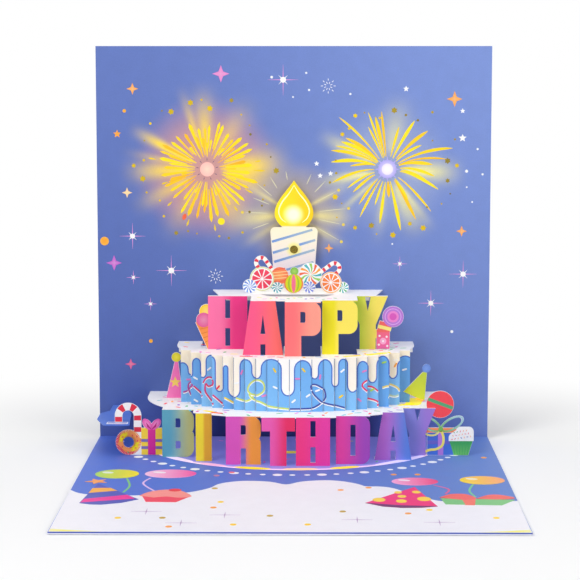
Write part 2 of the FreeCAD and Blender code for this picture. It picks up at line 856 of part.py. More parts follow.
def middle_tier():
    """Middle tier: open ring with a wall of narrow slats folded down in steps."""
    high = MIDDLE_TOP
    half_width = size("middle_half_width")
    shift = size("middle_shift")
    leg = size("middle_leg")
    top = half_oval(half_width, size("middle_side"), size("middle_bow"), shift, high - PAPER)
    count = int(size("slat_count"))
    pitch = size("slat_pitch")
    half_slat = (pitch - size("slat_gap")) / 2
    middles = [shift + (index - (count - 1) / 2) * pitch for index in range(count)]
    slats = [(across - half_slat, across + half_slat, middle_edge(across)) for across in middles]
    ring = folded_front(top, slats, high)
    rear_open = half_width - leg
    openings = [slab(shift - rear_open, shift + rear_open, size("middle_rear_gap"), 0,
                     high - PAPER, PAPER)]
    for _, left, width, depth in letter_row("upper", UPPER_ROW, upper_edge):
        openings.append(slab(left, left + width, depth, 0, high - PAPER, PAPER))
    pieces = [ring.cut(openings)]
    for left, right, depth in slats:
        pieces.append(slab(left, right, depth, depth - PAPER, LOWER_TOP, high - LOWER_TOP))
        pieces.append(slab(left, right, depth, depth - size("foot_tab"), LOWER_TOP, PAPER))
    for left in (shift - half_width, shift + half_width - leg):
        pieces.append(slab(left, left + leg, PAPER, 0, high - size("back_tab"), size("back_tab")))
    return shaped("middle_tier", joined(pieces))


def upper_tier():
    """Top tier: stepped top sheet with a slot, and five letters folded down to the ring."""
    high = UPPER_TOP
    shift = size("upper_shift")
    rear = size("upper_rear_half_width")
    front = size("upper_front_half_width")
    depth = size("upper_depth")
    nose = size("nose_half_width")
    nose_front = nose - size("nose_taper")
    nose_depth = size("nose_depth")
    top = outline([
        (shift - rear, 0, 0),
        (shift - front, -depth, 0),
        (shift - nose, -depth, 0),
        (shift - nose_front, -nose_depth, 0),
        (shift + nose_front, -nose_depth, 0),
        (shift + nose, -depth, 0),
        (shift + front, -depth, 0),
        (shift + rear, 0, 0),
    ], flat=True, depth=high - PAPER).extrude(Vector(0, 0, PAPER))
    letters = letter_row("upper", UPPER_ROW, upper_edge)
    folds = [
        (left + top_inset(glyph), left + width - top_inset(glyph), letter_depth)
        for glyph, left, width, letter_depth in letters
    ]
    reach = size("floor_depth")
    pieces = [top.cut([
        slab(left, right, reach, letter_depth, high - PAPER, PAPER)
        for left, right, letter_depth in folds
    ])]
    for left, right, letter_depth in folds:
        pieces.append(slab(left, right, letter_depth, min(letter_depth, depth) - PAPER,
                           high - PAPER, PAPER))
    half_slot = size("slot_width") / 2
    slot = outline([
        (shift - half_slot, -size("slot_rear"), 0),
        (shift - half_slot * SLOT_FRONT, -size("slot_front"), size("slot_round")),
        (shift + half_slot * SLOT_FRONT, -size("slot_front"), size("slot_round")),
        (shift + half_slot, -size("slot_rear"), 0),
    ], flat=True, depth=high - PAPER).extrude(Vector(0, 0, PAPER))
    pieces = [joined(pieces).cut(slot)]
    for glyph, left, width, letter_depth in letters:
        face = letter_face(glyph, width, high - MIDDLE_TOP)
        face.translate(Vector(left, 0, MIDDLE_TOP))
        panel = upright(face, letter_depth, PAPER)
        pieces.append(panel)
        for foot_left, foot_right in feet(panel, MIDDLE_TOP):
            pieces.append(slab(foot_left, foot_right, letter_depth, letter_depth - PAPER,
                               MIDDLE_TOP - 2 * PAPER, 2 * PAPER))
            pieces.append(slab(foot_left, foot_right, letter_depth + size("ring_tab"),
                               letter_depth - PAPER, MIDDLE_TOP - 2 * PAPER, PAPER))
    tab = rear - size("back_tab_inset")
    pieces.append(slab(shift - tab, shift + tab, PAPER, 0, high - size("back_tab"),
                       size("back_tab")))
    return shaped("upper_tier", joined(pieces))


# Candle

def candle_outline(border):
    """The candle's tapered front, drawn in by a border on every side."""
    top = size("candle_top_width") / 2 - border
    foot = size("candle_foot_width") / 2 - border
    shift = size("candle_shift")
    low = UPPER_TOP + border
    high = UPPER_TOP + PAPER + size("candle_height") - border
    turn = size("candle_round")
    return outline([
        (shift - foot, low, 0),
        (shift + foot, low, 0),
        (shift + top, high, turn),
        (shift - top, high, turn),
    ])


def flame_outline():
    """Pointed flame above the candle: a round belly drawn up to a tip."""
    shift = size("candle_shift")
    low = UPPER_TOP + PAPER + size("candle_height")
    half = size("flame_width") / 2
    belly = low + size("flame_belly")
    tip = low + size("flame_height")
    points = [
        Vector(shift - half * FLAME_FOOT, 0, low - PAPER),
        Vector(shift - half, 0, belly),
        Vector(shift - half * FLAME_SHOULDER, 0, (belly + tip) / 2 + size("flame_shoulder_lift")),
        Vector(shift, 0, tip),
    ]
    left = Part.BSplineCurve()
    left.interpolate(points)
    right = Part.BSplineCurve()
    right.interpolate([Vector(2 * shift - point.x, 0, point.z) for point in points])
    foot = Part.makeLine(points[0], Vector(2 * shift - points[0].x, 0, points[0].z))
    return Part.Face(Part.Wire([left.toShape(), right.toShape(), foot]))


def sensor_height():
    return UPPER_TOP + PAPER + size("candle_height") - size("sensor_drop")


def candle():
    """Candle and flame, one die-cut sheet with a round hole for the sensor."""
    stand_off = size("candle_stand_off")
    face = joined([candle_outline(0), flame_outline()])
    hole = disc(size("candle_shift"), sensor_height(), size("sensor_hole") / 2)
    return shaped("candle", upright(face.cut(hole), stand_off + PAPER, PAPER))


def candle_spacer():
    """Foam pad that holds the candle off the back leaf, bored for the sensor."""
    stand_off = size("candle_stand_off")
    bore = disc(size("candle_shift"), sensor_height(), size("sensor_bore") / 2)
    return shaped("candle_spacer", upright(candle_outline(size("spacer_border")).cut(bore),
                                           stand_off, stand_off))


# Party pieces

def crook(across, up, bend, width, drop, leg, mirror=1, lean=0):
    """A walking-stick shape: half a ring, a short end and a long leg, leaning away from the leg."""
    outer = disc(across, up, bend)
    inner = disc(across, up, bend - width)
    ring = outer.cut(inner).cut(block(across - bend, up - 2 * bend, across + bend, up))
    short = sorted((across - mirror * bend, across - mirror * (bend - width)))
    long = sorted((across + mirror * bend, across + mirror * (bend - width)))
    face = joined([ring, block(short[0], up - drop, short[1], up),
                   block(long[0], up - leg, long[1], up)])
    face.rotate(Vector(across, 0, up), Vector(0, 1, 0), -mirror * lean)
    return face


def with_foot(face, depth, low):
    """Stands a die-cut sheet on a foot tab under each place where it reaches down."""
    paper = size("party_paper")
    panel = upright(face, depth, paper)
    tab = size("party_tab")
    pieces = [panel]
    for left, right in feet(panel, low):
        pieces.append(slab(left, right, depth, depth - tab, low, paper))
    return joined(pieces)


def sweets():
    """Row of round sweets, fruit slices and canes on a low strip, one die-cut sheet."""
    low = UPPER_TOP
    half = size("sweets_half_width")
    middle = size("upper_shift") - size("candle_shift")
    bend = size("small_cane_bend")
    width = size("small_cane_width")
    end = size("small_cane_end")
    leg = size("small_cane_leg")
    shapes = [
        block(middle - half, low, middle + half, low + size("sweets_base")),
        crook(size("left_cane_across"), low + size("left_cane_up"), bend, width, end, leg,
              lean=size("left_cane_lean")),
        crook(size("right_cane_across"), low + size("right_cane_up"), bend, width, end, leg,
              mirror=-1, lean=size("right_cane_lean")),
    ]
    for name, _, _, _ in SWEETS:
        radius = size(f"{name}_radius")
        shapes.append(disc(size(f"{name}_across"), low + size(f"{name}_up"), radius))
    depth = size("sweets_depth")
    paper = size("sweets_paper")
    tab = slab(middle - half, middle + half, depth, depth - size("party_tab"), low, paper)
    return shaped("sweets", joined([upright(joined(shapes), depth, paper), tab]))


def pink_hat():
    """Party hat with a round pompom, on the left of the bottom tier."""
    low = LOWER_TOP
    across = -size("hat_offset")
    half = size("hat_base") / 2
    half_tip = size("hat_tip") / 2
    tip = across + size("hat_lean")
    high = low + size("hat_height")
    face = joined([
        outline([
            (across - half, low, 0),
            (across + half, low, 0),
            (tip + half_tip, high, 0),
            (tip - half_tip, high, 0),
        ]),
        disc(tip, low + size("pompom_rise"), size("pompom")),
    ])
    return shaped("pink_hat", with_foot(face, size("hat_depth"), low))


def end_slat():
    """Middle and depth of the last slat on the right."""
    reach = (size("slat_count") - 1) / 2 * size("slat_pitch")
    across = size("middle_shift") + reach
    return across, middle_edge(across)


def green_hat():
    """Tilted party hat, glued to the front of the last slat on the right."""
    low = LOWER_TOP + size("green_hat_rise")
    foot = size("green_hat_foot")
    foot_left = foot - size("green_hat_foot_width")
    tip = size("green_hat_tip")
    half_tip = size("green_hat_tip_width") / 2
    high = low + size("green_hat_height")
    face = joined([
        outline([
            (foot_left, low, 0),
            (foot, low, 0),
            (tip + half_tip, high, 0),
            (tip - half_tip, high, 0),
            (size("green_hat_side"), low + size("green_hat_side_rise"), 0),
        ]),
        disc(size("green_pompom_across"), low + size("green_pompom_rise"), size("green_pompom")),
    ])
    _, slat_depth = end_slat()
    paper = size("party_paper")
    return shaped("green_hat", upright(face, slat_depth + paper, paper))


def ball():
    """Round ball glued behind the last lower letter; a slit lets it straddle the fold there."""
    glyph, left, width, depth = letter_row("lower", LOWER_ROW, lower_edge)[-1]
    radius = size("ball_radius")
    across = size("ball_across")
    fold_right = left + width - top_inset(glyph) + size("sheet_gap")
    slit_low = LOWER_TOP - PAPER
    slit = block(across - 2 * radius, slit_low, fold_right, slit_low + PAPER)
    face = disc(across, LOWER_TOP + size("ball_rise"), radius).cut(slit)
    return shaped("ball", upright(face, depth - PAPER, size("party_paper")))


def ice_cream():
    """Cone with scoops, glued behind the first letter of the top row."""
    _, left, _, depth = letter_row("upper", UPPER_ROW, upper_edge)[0]
    low = MIDDLE_TOP
    mouth = low + size("cone_mouth")
    half = size("cone_half_width")
    half_tip = size("cone_tip") / 2
    scoop = size("cone_scoop")
    spread = size("scoop_spread")
    tip = left + size("cone_offset")
    face = joined([
        outline([
            (tip - half_tip, low, 0),
            (tip + half_tip, low, 0),
            (tip + half, mouth, 0),
            (tip - half, mouth, 0),
        ]),
        disc(tip - spread, mouth + scoop / 3, scoop),
        disc(tip + spread, mouth + scoop / 3, scoop),
        disc(tip - size("scoop_lean"), low + size("cone_top"), scoop),
    ])
    return shaped("ice_cream", upright(face, depth - PAPER, size("party_paper")))


def lollipop():
    """Round lollipop over a wrapped sweet, glued behind the last letter of the top row."""
    _, left, width, depth = letter_row("upper", UPPER_ROW, upper_edge)[-1]
    low = MIDDLE_TOP
    centre = left + width - size("wrap_offset")
    half = size("wrap_width") / 2
    top = low + size("wrap_height")
    wing = size("wrap_wing")
    lean = size("wrap_lean")
    face = joined([
        block(centre - half - wing, top - wing, centre, top),
        block(centre - half, low, centre + half, top),
        outline([
            (centre - half, top - lean, 0),
            (centre + half, top - lean, 0),
            (centre + half + lean, top + wing - lean, 0),
            (centre - half + lean, top + wing, 0),
        ]),
        disc(centre + size("lolly_across"), low + size("lolly_rise"), size("lolly_radius")),
    ])
    return shaped("lollipop", upright(face, depth - PAPER, size("party_paper")))


def left_standee():
    """Ring cake, striped cane and wrapped gift, one die-cut sheet on the floor leaf."""
    paper = size("party_paper")
    donut_across = size("donut_across")
    donut_up = size("donut_radius")
    cane_up = size("strut_rise") + paper + size("cane_end")
    _, first_left, _, _ = letter_row("lower", LOWER_ROW, lower_edge)[0]
    gift_right = first_left - size("sheet_gap")
    gift_left = gift_right - size("gift_width")
    gift_top = size("gift_height")
    bow_up = gift_top - size("bow_sink")
    bow_reach = size("bow_reach")
    middle = (gift_left + gift_right) / 2
    shapes = [
        disc(donut_across, donut_up, size("donut_radius")),
        crook(size("cane_across"), cane_up, size("cane_bend"), size("cane_width"),
              size("cane_end"), cane_up),
        block(gift_left, 0, gift_right, gift_top),
    ]
    for lean in (BOW_LEAN, 180 - BOW_LEAN):
        shapes.append(petal(middle, bow_up, bow_reach, size("bow_width"), lean))
    face = joined(shapes).cut(disc(donut_across, donut_up, size("donut_hole")))
    depth = size("party_depth")
    tab = slab(gift_right - size("left_tab_width"), gift_right, depth, depth - size("party_tab"),
               0, paper)
    return shaped("left_standee", joined([upright(face, depth, paper), tab]))


def right_standee():
    """Wrapped gift with a looped ribbon and an iced cup cake, one die-cut sheet."""
    _, last_left, last_width, last_depth = letter_row("lower", LOWER_ROW, lower_edge)[-1]
    gap = size("sheet_gap")
    left = last_left + (last_width + size("letter_stem")) / 2 + gap
    right = size("box_right")
    box_top = size("box_height")
    lid_top = box_top + size("lid_height")
    overhang = size("lid_overhang")
    shapes = [
        block(left + overhang, 0, right - overhang, box_top),
        block(left, box_top, right, lid_top),
    ]
    strip = size("ribbon_width")
    reach = size("loop_reach")
    width = size("loop_width")
    for lean in (LOOP_LEAN, 180 - LOOP_LEAN):
        outer = petal(size("knot_across"), lid_top - strip, reach, width, lean)
        inner = outer.copy()
        inner.scale((reach - 2 * strip) / reach, outer.CenterOfMass)
        shapes.append(outer.cut(inner))
    cup = size("cup_across")
    half_top = size("cup_top") / 2
    half_foot = size("cup_foot") / 2
    rim = size("cup_height")
    icing = half_top + size("icing_overhang")
    shapes.append(outline([
        (cup - half_foot, 0, 0),
        (cup + half_foot, 0, 0),
        (cup + half_top, rim, 0),
        (cup - half_top, rim, 0),
    ]))
    shapes.append(outline([
        (cup - icing, rim, 0),
        (cup + icing, rim, 0),
        (cup + icing, rim + size("icing_rise"), size("icing_round")),
        (cup - icing + size("icing_crown") / 2, rim + size("icing_rise"), size("icing_round")),
    ]))
    return shaped("right_standee", with_foot(joined(shapes), last_depth - PAPER - gap, 0))


def left_strut():
    """Flat strut from the back leaf to the left standee, with a long slot near its front."""
    low = size("strut_rise")
    paper = size("party_paper")
    neck = size("strut_neck") / 2
    neck_across = size("strut_neck_across")
    neck_end = -size("strut_neck_length")
    middle = size("strut_middle")
    half = size("strut_half_width")
    turn = size("strut_round")
    reach = size("strut_reach")
    half_slot = size("strut_slot_width") / 2
    body = outline([
        (neck_across - neck, 0, 0),
        (neck_across - neck, neck_end, 0),
        (middle - half, -size("strut_shoulder"), turn),
        (middle - half, -size("strut_belly"), turn),
        (middle - half_slot - turn / 3, -reach, turn / 3),
        (middle + half_slot + turn / 3, -reach, turn / 3),
        (neck_across + neck + turn / 3, -size("strut_shoulder"), turn),
        (neck_across + neck, neck_end, 0),
        (neck_across + neck, 0, 0),
    ], flat=True, depth=low).extrude(Vector(0, 0, paper))
    slot_rear = size("party_depth") + size("strut_slot_gap")
    slot = slab(middle - half_slot, middle + half_slot, slot_rear + size("strut_slot_depth"),
                slot_rear, low, paper)
    tab = slab(neck_across - neck, neck_across + neck, paper, 0, low - size("back_tab"),
               size("back_tab"))
    return shaped("left_strut", joined([body.cut(slot), tab]))


def build_all():
    cover()
    liner()
    core()
    circuit_board()
    burst = "dims.burst_spacing / 2"
    light("light_left", f"dims.burst_shift - {burst}", "dims.burst_height")
    light("light_right", f"dims.burst_shift + {burst}", "dims.burst_height")
    light("light_flame", "dims.candle_shift", "dims.flame_light_height")
    speaker()
    cell_clip()
    for index in range(CELL_COUNT):
        button_cell(index)
    slide_switch()
    microphone()
    lower_tier()
    middle_tier()
    upper_tier()
    candle_spacer()
    candle()
    sweets()
    ice_cream()
    lollipop()
    pink_hat()
    green_hat()
    ball()
    left_standee()
    right_standee()
    left_strut()


build_all()
doc.recompute()

for item in doc.Objects:
    if "Invalid" in item.State or "Error" in item.State:
        raise RuntimeError(f"{item.Name} did not build: {item.State}")
for sub_part in sub_parts:
    if sub_part.Shape.isNull() or not sub_part.Shape.isValid() or not sub_part.Shape.Solids:
        raise RuntimeError(f"{sub_part.Label} has no valid solid")

os.makedirs("parts", exist_ok=True)
for sub_part in sub_parts:
    sub_part.Shape.exportStep(f"parts/{sub_part.Label}.step")
print(len(sub_parts), "sub-parts written")
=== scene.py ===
"""Looks of the pop-up birthday card: printed paper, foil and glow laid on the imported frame.

Lengths are in millimetres from the inner spine corner, as the paper engineer would measure them:
across to the right, depth towards the viewer, up from the floor leaf. `at` turns them into metres.
On a print's sheet x runs across and y up, or towards the viewer where the sheet is level.
Colours are written as they are seen, with two hexadecimal digits each for red, green and blue.
"""
import random
from math import asin, cos, degrees, dist, hypot, pi, radians, sin, sqrt

import bmesh
import bpy
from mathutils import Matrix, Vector


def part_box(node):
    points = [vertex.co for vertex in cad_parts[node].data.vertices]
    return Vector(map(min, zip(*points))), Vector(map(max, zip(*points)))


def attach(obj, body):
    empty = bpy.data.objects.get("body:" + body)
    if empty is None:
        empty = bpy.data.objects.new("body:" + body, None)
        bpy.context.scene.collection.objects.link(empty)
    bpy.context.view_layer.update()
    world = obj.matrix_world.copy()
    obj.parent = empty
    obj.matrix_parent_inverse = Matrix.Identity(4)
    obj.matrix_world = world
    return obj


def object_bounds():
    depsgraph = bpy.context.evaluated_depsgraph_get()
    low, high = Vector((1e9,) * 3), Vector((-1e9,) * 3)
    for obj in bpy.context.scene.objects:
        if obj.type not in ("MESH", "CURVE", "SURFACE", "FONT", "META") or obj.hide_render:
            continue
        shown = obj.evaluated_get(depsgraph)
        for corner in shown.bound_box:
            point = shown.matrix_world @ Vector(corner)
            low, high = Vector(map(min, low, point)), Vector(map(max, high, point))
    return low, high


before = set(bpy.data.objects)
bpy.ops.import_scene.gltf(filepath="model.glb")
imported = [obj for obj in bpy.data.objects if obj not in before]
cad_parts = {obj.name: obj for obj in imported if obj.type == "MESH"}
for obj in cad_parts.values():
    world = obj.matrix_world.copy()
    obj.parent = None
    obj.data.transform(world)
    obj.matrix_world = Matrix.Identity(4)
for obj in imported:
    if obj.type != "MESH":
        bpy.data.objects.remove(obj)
cad_low, cad_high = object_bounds()

MM = 0.001
FACE_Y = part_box("lower_tier")[1].y
FLOOR_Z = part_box("lower_tier")[0].z
rng = random.Random(26)


def at(across, depth, up):
    return Vector((across * MM, FACE_Y - depth * MM, FLOOR_Z + up * MM))


def rgb(colour):
    """A colour's digits as linear values for a shader; any other value stays as it is."""
    def linear(digits):
        value = int(digits, 16) / 255
        return value / 12.92 if value <= 0.04045 else ((value + 0.055) / 1.055) ** 2.4
    if not isinstance(colour, str):
        return colour
    return (linear(colour[:2]), linear(colour[2:4]), linear(colour[4:]), 1.0)


def blend(first, second, share):
    return tuple(a + (b - a) * share for a, b in zip(rgb(first), rgb(second)))


# Camera, lamps and studio

def placed(name, data):
    """A new object in the scene."""
    thing = bpy.data.objects.new(name, data)
    bpy.context.scene.collection.objects.link(thing)
    return thing


camera = bpy.data.cameras.new("camera")
camera.sensor_width = 36
camera.lens = 117.6
camera_object = placed("camera", camera)
camera_object.location = (0.00665, -0.77845, 0.1758)
camera_object.rotation_euler = (radians(83), 0, radians(0.55))
bpy.context.scene.camera = camera_object
bpy.context.scene.view_settings.view_transform = "Standard"

LAMP_TARGET = Vector((0, 0, 0.06))
LAMPS = (("key_lamp", (-0.7, -0.9, 0.95), 0.7, 7.8), ("fill_lamp", (0.9, -0.8, 0.6), 0.9, 4.4),
         ("top_lamp", (0, -0.1, 1.2), 0.9, 4.2))
for name, place, size, power in LAMPS:
    lamp = bpy.data.lights.new(name, "AREA")
    lamp.shape = "DISK"
    lamp.size = size
    lamp.energy = power
    holder = placed(name, lamp)
    holder.location = place
    holder.rotation_euler = (LAMP_TARGET - Vector(place)).to_track_quat("-Z", "Y").to_euler()


# Materials

class Nodes:
    """A node tree, built step by step."""

    def __init__(self, tree):
        self.tree = tree

    def add(self, kind, settings=None, **inputs):
        node = self.tree.nodes.new("ShaderNode" + kind)
        for key, value in (settings or {}).items():
            setattr(node, key, value)
        for key, value in inputs.items():
            self.feed(node.inputs[key.replace("_", " ")], value)
        return node

    def feed(self, socket, value):
        if isinstance(value, bpy.types.NodeSocket):
            self.tree.links.new(value, socket)
        else:
            socket.default_value = rgb(value)

    def calc(self, operation, *values):
        node = self.add("Math", {"operation": operation})
        for socket, value in zip(node.inputs, values):
            self.feed(socket, value)
        return node.outputs[0]

    def seen(self):
        """1 for what is seen directly, in a gloss or through glass."""
        path = self.add("LightPath").outputs
        seen = self.calc("MAXIMUM", path["Is Camera Ray"], path["Is Glossy Ray"])
        return self.calc("MAXIMUM", seen, path["Is Transmission Ray"])


class Finish(Nodes):
    """One node material, built from where the surface is."""

    def __init__(self, name):
        self.material = bpy.data.materials.new(name)
        self.material.use_nodes = True
        super().__init__(self.material.node_tree)
        self.shader = self.tree.nodes["Principled BSDF"]
        self.place = self.add("TexCoord").outputs["Object"]
        self.axes = self.add("SeparateXYZ", Vector=self.place).outputs

    def noise(self, scale, detail):
        return self.add("TexNoise", Vector=self.place, Scale=scale, Detail=detail).outputs[0]

    def between(self, value, low, high, start=0.0, end=1.0):
        """The value's run from low to high, as a run from start to end."""
        node = self.add("MapRange", {"interpolation_type": "SMOOTHSTEP"}, Value=value)
        for socket, number in zip(list(node.inputs)[1:5], (low, high, start, end)):
            socket.default_value = number
        return node.outputs[0]

    def across(self, low, high, start=0.0, end=1.0):
        """A run between two places across."""
        return self.between(self.axes[0], low * MM, high * MM, start, end)

    def rise(self, low, high, start=0.0, end=1.0):
        """A run between two heights."""
        return self.between(self.axes[2], at(0, 0, low).z, at(0, 0, high).z, start, end)

    def mix(self, share, under, over, blend_type="MIX"):
        node = self.add("Mix", {"data_type": "RGBA", "blend_type": blend_type})
        self.feed(node.inputs["Factor"], share)
        self.feed(node.inputs[6], under)
        self.feed(node.inputs[7], over)
        return node.outputs[2]

    def inside(self, low, high):
        """1 inside a box given by two corners in card lengths, otherwise 0."""
        share = 1.0
        for axis, ends in enumerate(zip(at(*low), at(*high))):
            for operation, end in (("GREATER_THAN", min(ends)), ("LESS_THAN", max(ends))):
                share = self.calc("MULTIPLY", share, self.calc(operation, self.axes[axis], end))
        return share

    def faces(self, axis, sign):
        """1 where the surface faces along an axis."""
        normal = self.add("NewGeometry").outputs["Normal"]
        along = self.add("SeparateXYZ", Vector=normal).outputs[axis]
        return self.calc("GREATER_THAN", self.calc("MULTIPLY", along, sign), 0.6)

    def front(self, low, high):
        """1 where the surface faces the viewer inside such a box."""
        return self.calc("MULTIPLY", self.faces(1, -1), self.inside(low, high))

    def vector(self, operation, first, second=(0, 0, 0)):
        node = self.add("VectorMath", {"operation": operation})
        self.feed(node.inputs[0], first)
        self.feed(node.inputs[1], second)
        return node.outputs

    def far(self, centre):
        """Distance from a point given in card lengths, in metres."""
        return self.vector("DISTANCE", self.place, at(*centre))["Value"]

    def beams(self, centre, rays):
        """Soft rays out of a point, each with a direction in degrees, a narrowness, a strength."""
        aim = self.vector("NORMALIZE", self.vector("SUBTRACT", self.place, at(*centre))[0])[0]
        total = 0.0
        for angle, narrowness, strength in rays:
            lean = (cos(radians(angle)), 0, sin(radians(angle)))
            along = self.calc("MAXIMUM", self.vector("DOT_PRODUCT", aim, lean)["Value"], 0.0)
            along = self.calc("POWER", along, narrowness)
            total = self.calc("MULTIPLY_ADD", along, strength, total)
        return total

    def paper(self, colour, roughness=0.55, grain=0.05, glow=None, glow_strength=0.0, metallic=0.0):
        """A printed or plain surface: mottling, fine fibres or scratches and an uneven gloss."""
        fibre = self.noise(2600, 4)
        cloud = self.noise(160, 3)
        shade = self.calc("MULTIPLY_ADD", fibre, grain * 2, 1 - grain)
        shade = self.calc("MULTIPLY", shade, self.calc("MULTIPLY_ADD", cloud, grain, 1 - grain / 2))
        grey = self.add("CombineColor", Red=shade, Green=shade, Blue=shade).outputs[0]
        rough = self.calc("MULTIPLY_ADD", cloud, 0.16, roughness - 0.08)
        bump = self.add("Bump", Strength=0.12, Distance=0.00005, Height=fibre).outputs[0]
        values = {"Base Color": self.mix(1.0, colour, grey, "MULTIPLY"), "Roughness": rough,
                  "Normal": bump, "Metallic": metallic}
        if glow is not None:
            values.update({"Emission Color": glow, "Emission Strength": glow_strength})
        for key, value in values.items():
            self.feed(self.shader.inputs[key], value)
        return self.material


def clothe(node, material):
    """Gives a CAD node its finish."""
    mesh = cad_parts[node].data
    mesh.materials.clear()
    mesh.materials.append(material)


def studio():
    """A pale floor that keeps the card's shadow and fades to white, under an even white sky."""
    reach = 6.0
    ends = ((-reach, -reach, 0), (reach, -reach, 0), (reach, reach, 0), (-reach, reach, 0))
    mesh = bpy.data.meshes.new("floor")
    mesh.from_pydata(ends, [], [(0, 1, 2, 3)])
    floor = placed("floor", mesh)
    floor.location.z = cad_low.z - 0.0002
    finish = Finish("studio_floor")
    pale = finish.mix(finish.noise(6, 2), (0.93, 0.93, 0.93, 1), (0.97, 0.97, 0.97, 1))
    finish.feed(finish.shader.inputs["Base Color"], pale)
    finish.feed(finish.shader.inputs["Roughness"], 0.8)
    white = finish.add("Emission", Color=(1, 1, 1, 1), Strength=1.0)
    fade = finish.between(finish.vector("LENGTH", finish.place)["Value"], 0.12, 0.3)
    share = finish.calc("MULTIPLY", fade, finish.seen())
    blended = finish.add("MixShader")
    for socket, value in zip(blended.inputs, (share, finish.shader.outputs[0], white.outputs[0])):
        finish.feed(socket, value)
    finish.feed(finish.tree.nodes["Material Output"].inputs["Surface"], blended.outputs[0])
    mesh.materials.append(finish.material)

    world = bpy.data.worlds.new("studio")
    world.use_nodes = True
    bpy.context.scene.world = world
    sky = Nodes(world.node_tree)
    background = sky.tree.nodes["Background"]
    sky.feed(background.inputs["Color"], (1, 1, 1, 1))
    level = sky.add("MapRange", Value=sky.seen(), To_Min=0.4, To_Max=1.0)
    sky.feed(background.inputs["Strength"], level.outputs[0])


studio()


# Flat prints: thin closed shapes that lie on a sheet, each with its own colour

LAYER = 0.02
SUNK = 0.05
STROKE_RISE = 0.4


def upright(depth=0.0):
    """A sheet's face seen by the viewer: across and up, at one depth."""
    return lambda first, second, lift: at(first, depth + lift, second)


def level(up=0.0):
    """A sheet's upper side: across and depth, at one height."""
    return lambda first, second, lift: at(first, second, up + lift)


class Print:
    """One printed piece: many small shapes, each a closed film a few hundredths thick."""

    def __init__(self, name, slot, finish, sheet=upright(), x=0.0, y=0.0):
        self.name, self.slot, self.finish, self.sheet = name, slot, finish, sheet
        self.x, self.y = x, y
        self.base = 0
        self.mesh = bmesh.new()
        self.tint = self.mesh.loops.layers.float_color.new("tint")

    def corners(self, outline, layers):
        """New corners above an outline, one layer for each, and below it inside the sheet."""
        outline = [(a + self.x, b + self.y) for a, b in outline]
        new = self.mesh.verts.new
        upper = [new(self.sheet(a, b, LAYER * (self.base + layer + 1)))
                 for (a, b), layer in zip(outline, layers)]
        return upper, [new(self.sheet(a, b, -SUNK)) for a, b in outline]

    def film(self, upper, lower, faces, colour, rim=None):
        """Closes faces above and below with the walls between them; gives back the first."""
        walls = list(zip(upper, lower, lower[1:] + lower[:1], upper[1:] + upper[:1]))
        made = [self.mesh.faces.new(corners) for corners in faces + walls]
        inner, outer = rgb(colour), rgb(rim)
        for face in made:
            for loop in face.loops:
                loop[self.tint] = outer if rim and loop.vert in upper else inner
        return made[0]

    def stamp(self, outline, colour, layer=0, rim=None):
        """A filled outline; its edge has the rim's colour when that is given."""
        upper, lower = self.corners(outline, [layer] * len(outline))
        faces = [upper]
        if rim:
            middle = sum((corner.co for corner in upper), Vector()) / len(upper)
            centre = self.mesh.verts.new(middle)
            faces = [(first, second, centre) for first, second in zip(upper, upper[1:] + upper[:1])]
        return self.film(upper, lower, faces + [lower[::-1]], colour, rim)

    def stamps(self, *shapes):
        for shape in shapes:
            self.stamp(*shape)

    def shade(self, outline, first, last, axis=1, layer=0):
        """A filled outline whose colour runs along one axis of the sheet."""
        values = [corner[axis] for corner in outline]
        low, high = min(values), max(values)
        for loop, value in zip(self.stamp(outline, first, layer).loops, values):
            loop[self.tint] = blend(first, last, (value - low) / (high - low))

    def stroke(self, line, width, colour, layer=0):
        """A line of flat links that rises a little on its way, so that it may cross itself."""
        outline = ribbon(line, width)
        last = len(outline) - 1
        upper, lower = self.corners(outline, [
            layer + STROKE_RISE * min(i, last - i) / len(line) for i in range(last + 1)])
        faces = []
        for i in range(len(line) - 1):
            link = (i, i + 1, last - 1 - i, last - i)
            faces += [[upper[corner] for corner in link], [lower[corner] for corner in link[::-1]]]
        self.film(upper, lower, faces, colour)

    def done(self):
        data = bpy.data.meshes.new(self.name)
        bmesh.ops.recalc_face_normals(self.mesh, faces=self.mesh.faces)
        self.mesh.to_mesh(data)
        self.mesh.free()
        data.materials.append(self.finish)
        piece = placed(self.name, data)
        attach(piece, "root")


def polar(x, y, reach, angle):
    """The point at a distance and an angle in degrees from a centre."""
    return (x + reach * cos(radians(angle)), y + reach * sin(radians(angle)))


def turned(points, x, y, tilt):
    """Points turned by degrees about their origin, and moved."""
    along, over = cos(radians(tilt)), sin(radians(tilt))
    return [(x + a * along - b * over, y + a * over + b * along) for a, b in points]


def oval(x, y, half_width, half_height, tilt=0.0, count=20, start=0.0, turn=360.0):
    """Corners of an oval, or of a part of one, tilted in degrees."""
    angles = [radians(start + turn * i / count) for i in range(count + (turn != 360.0))]
    return turned([(half_width * cos(a), half_height * sin(a)) for a in angles], x, y, tilt)


def disc(x, y, radius, count=20):
    return oval(x, y, radius, radius, count=count)


def star(x, y, points, outer, inner, tilt=90.0):
    return [polar(x, y, inner if i % 2 else outer, tilt + 180 * i / points)
            for i in range(points * 2)]


def capsule(x, y, length, width, tilt):
    """A sprinkle: a short rounded bar."""
    reach = (length - width) / 2
    return turned([polar(end * reach, 0, width / 2, start + 45 * step)
                   for end, start in ((1, -90), (-1, 90)) for step in range(5)], x, y, tilt)


def bar(left, low, right, high):
    return [(left, low), (right, low), (right, high), (left, high)]


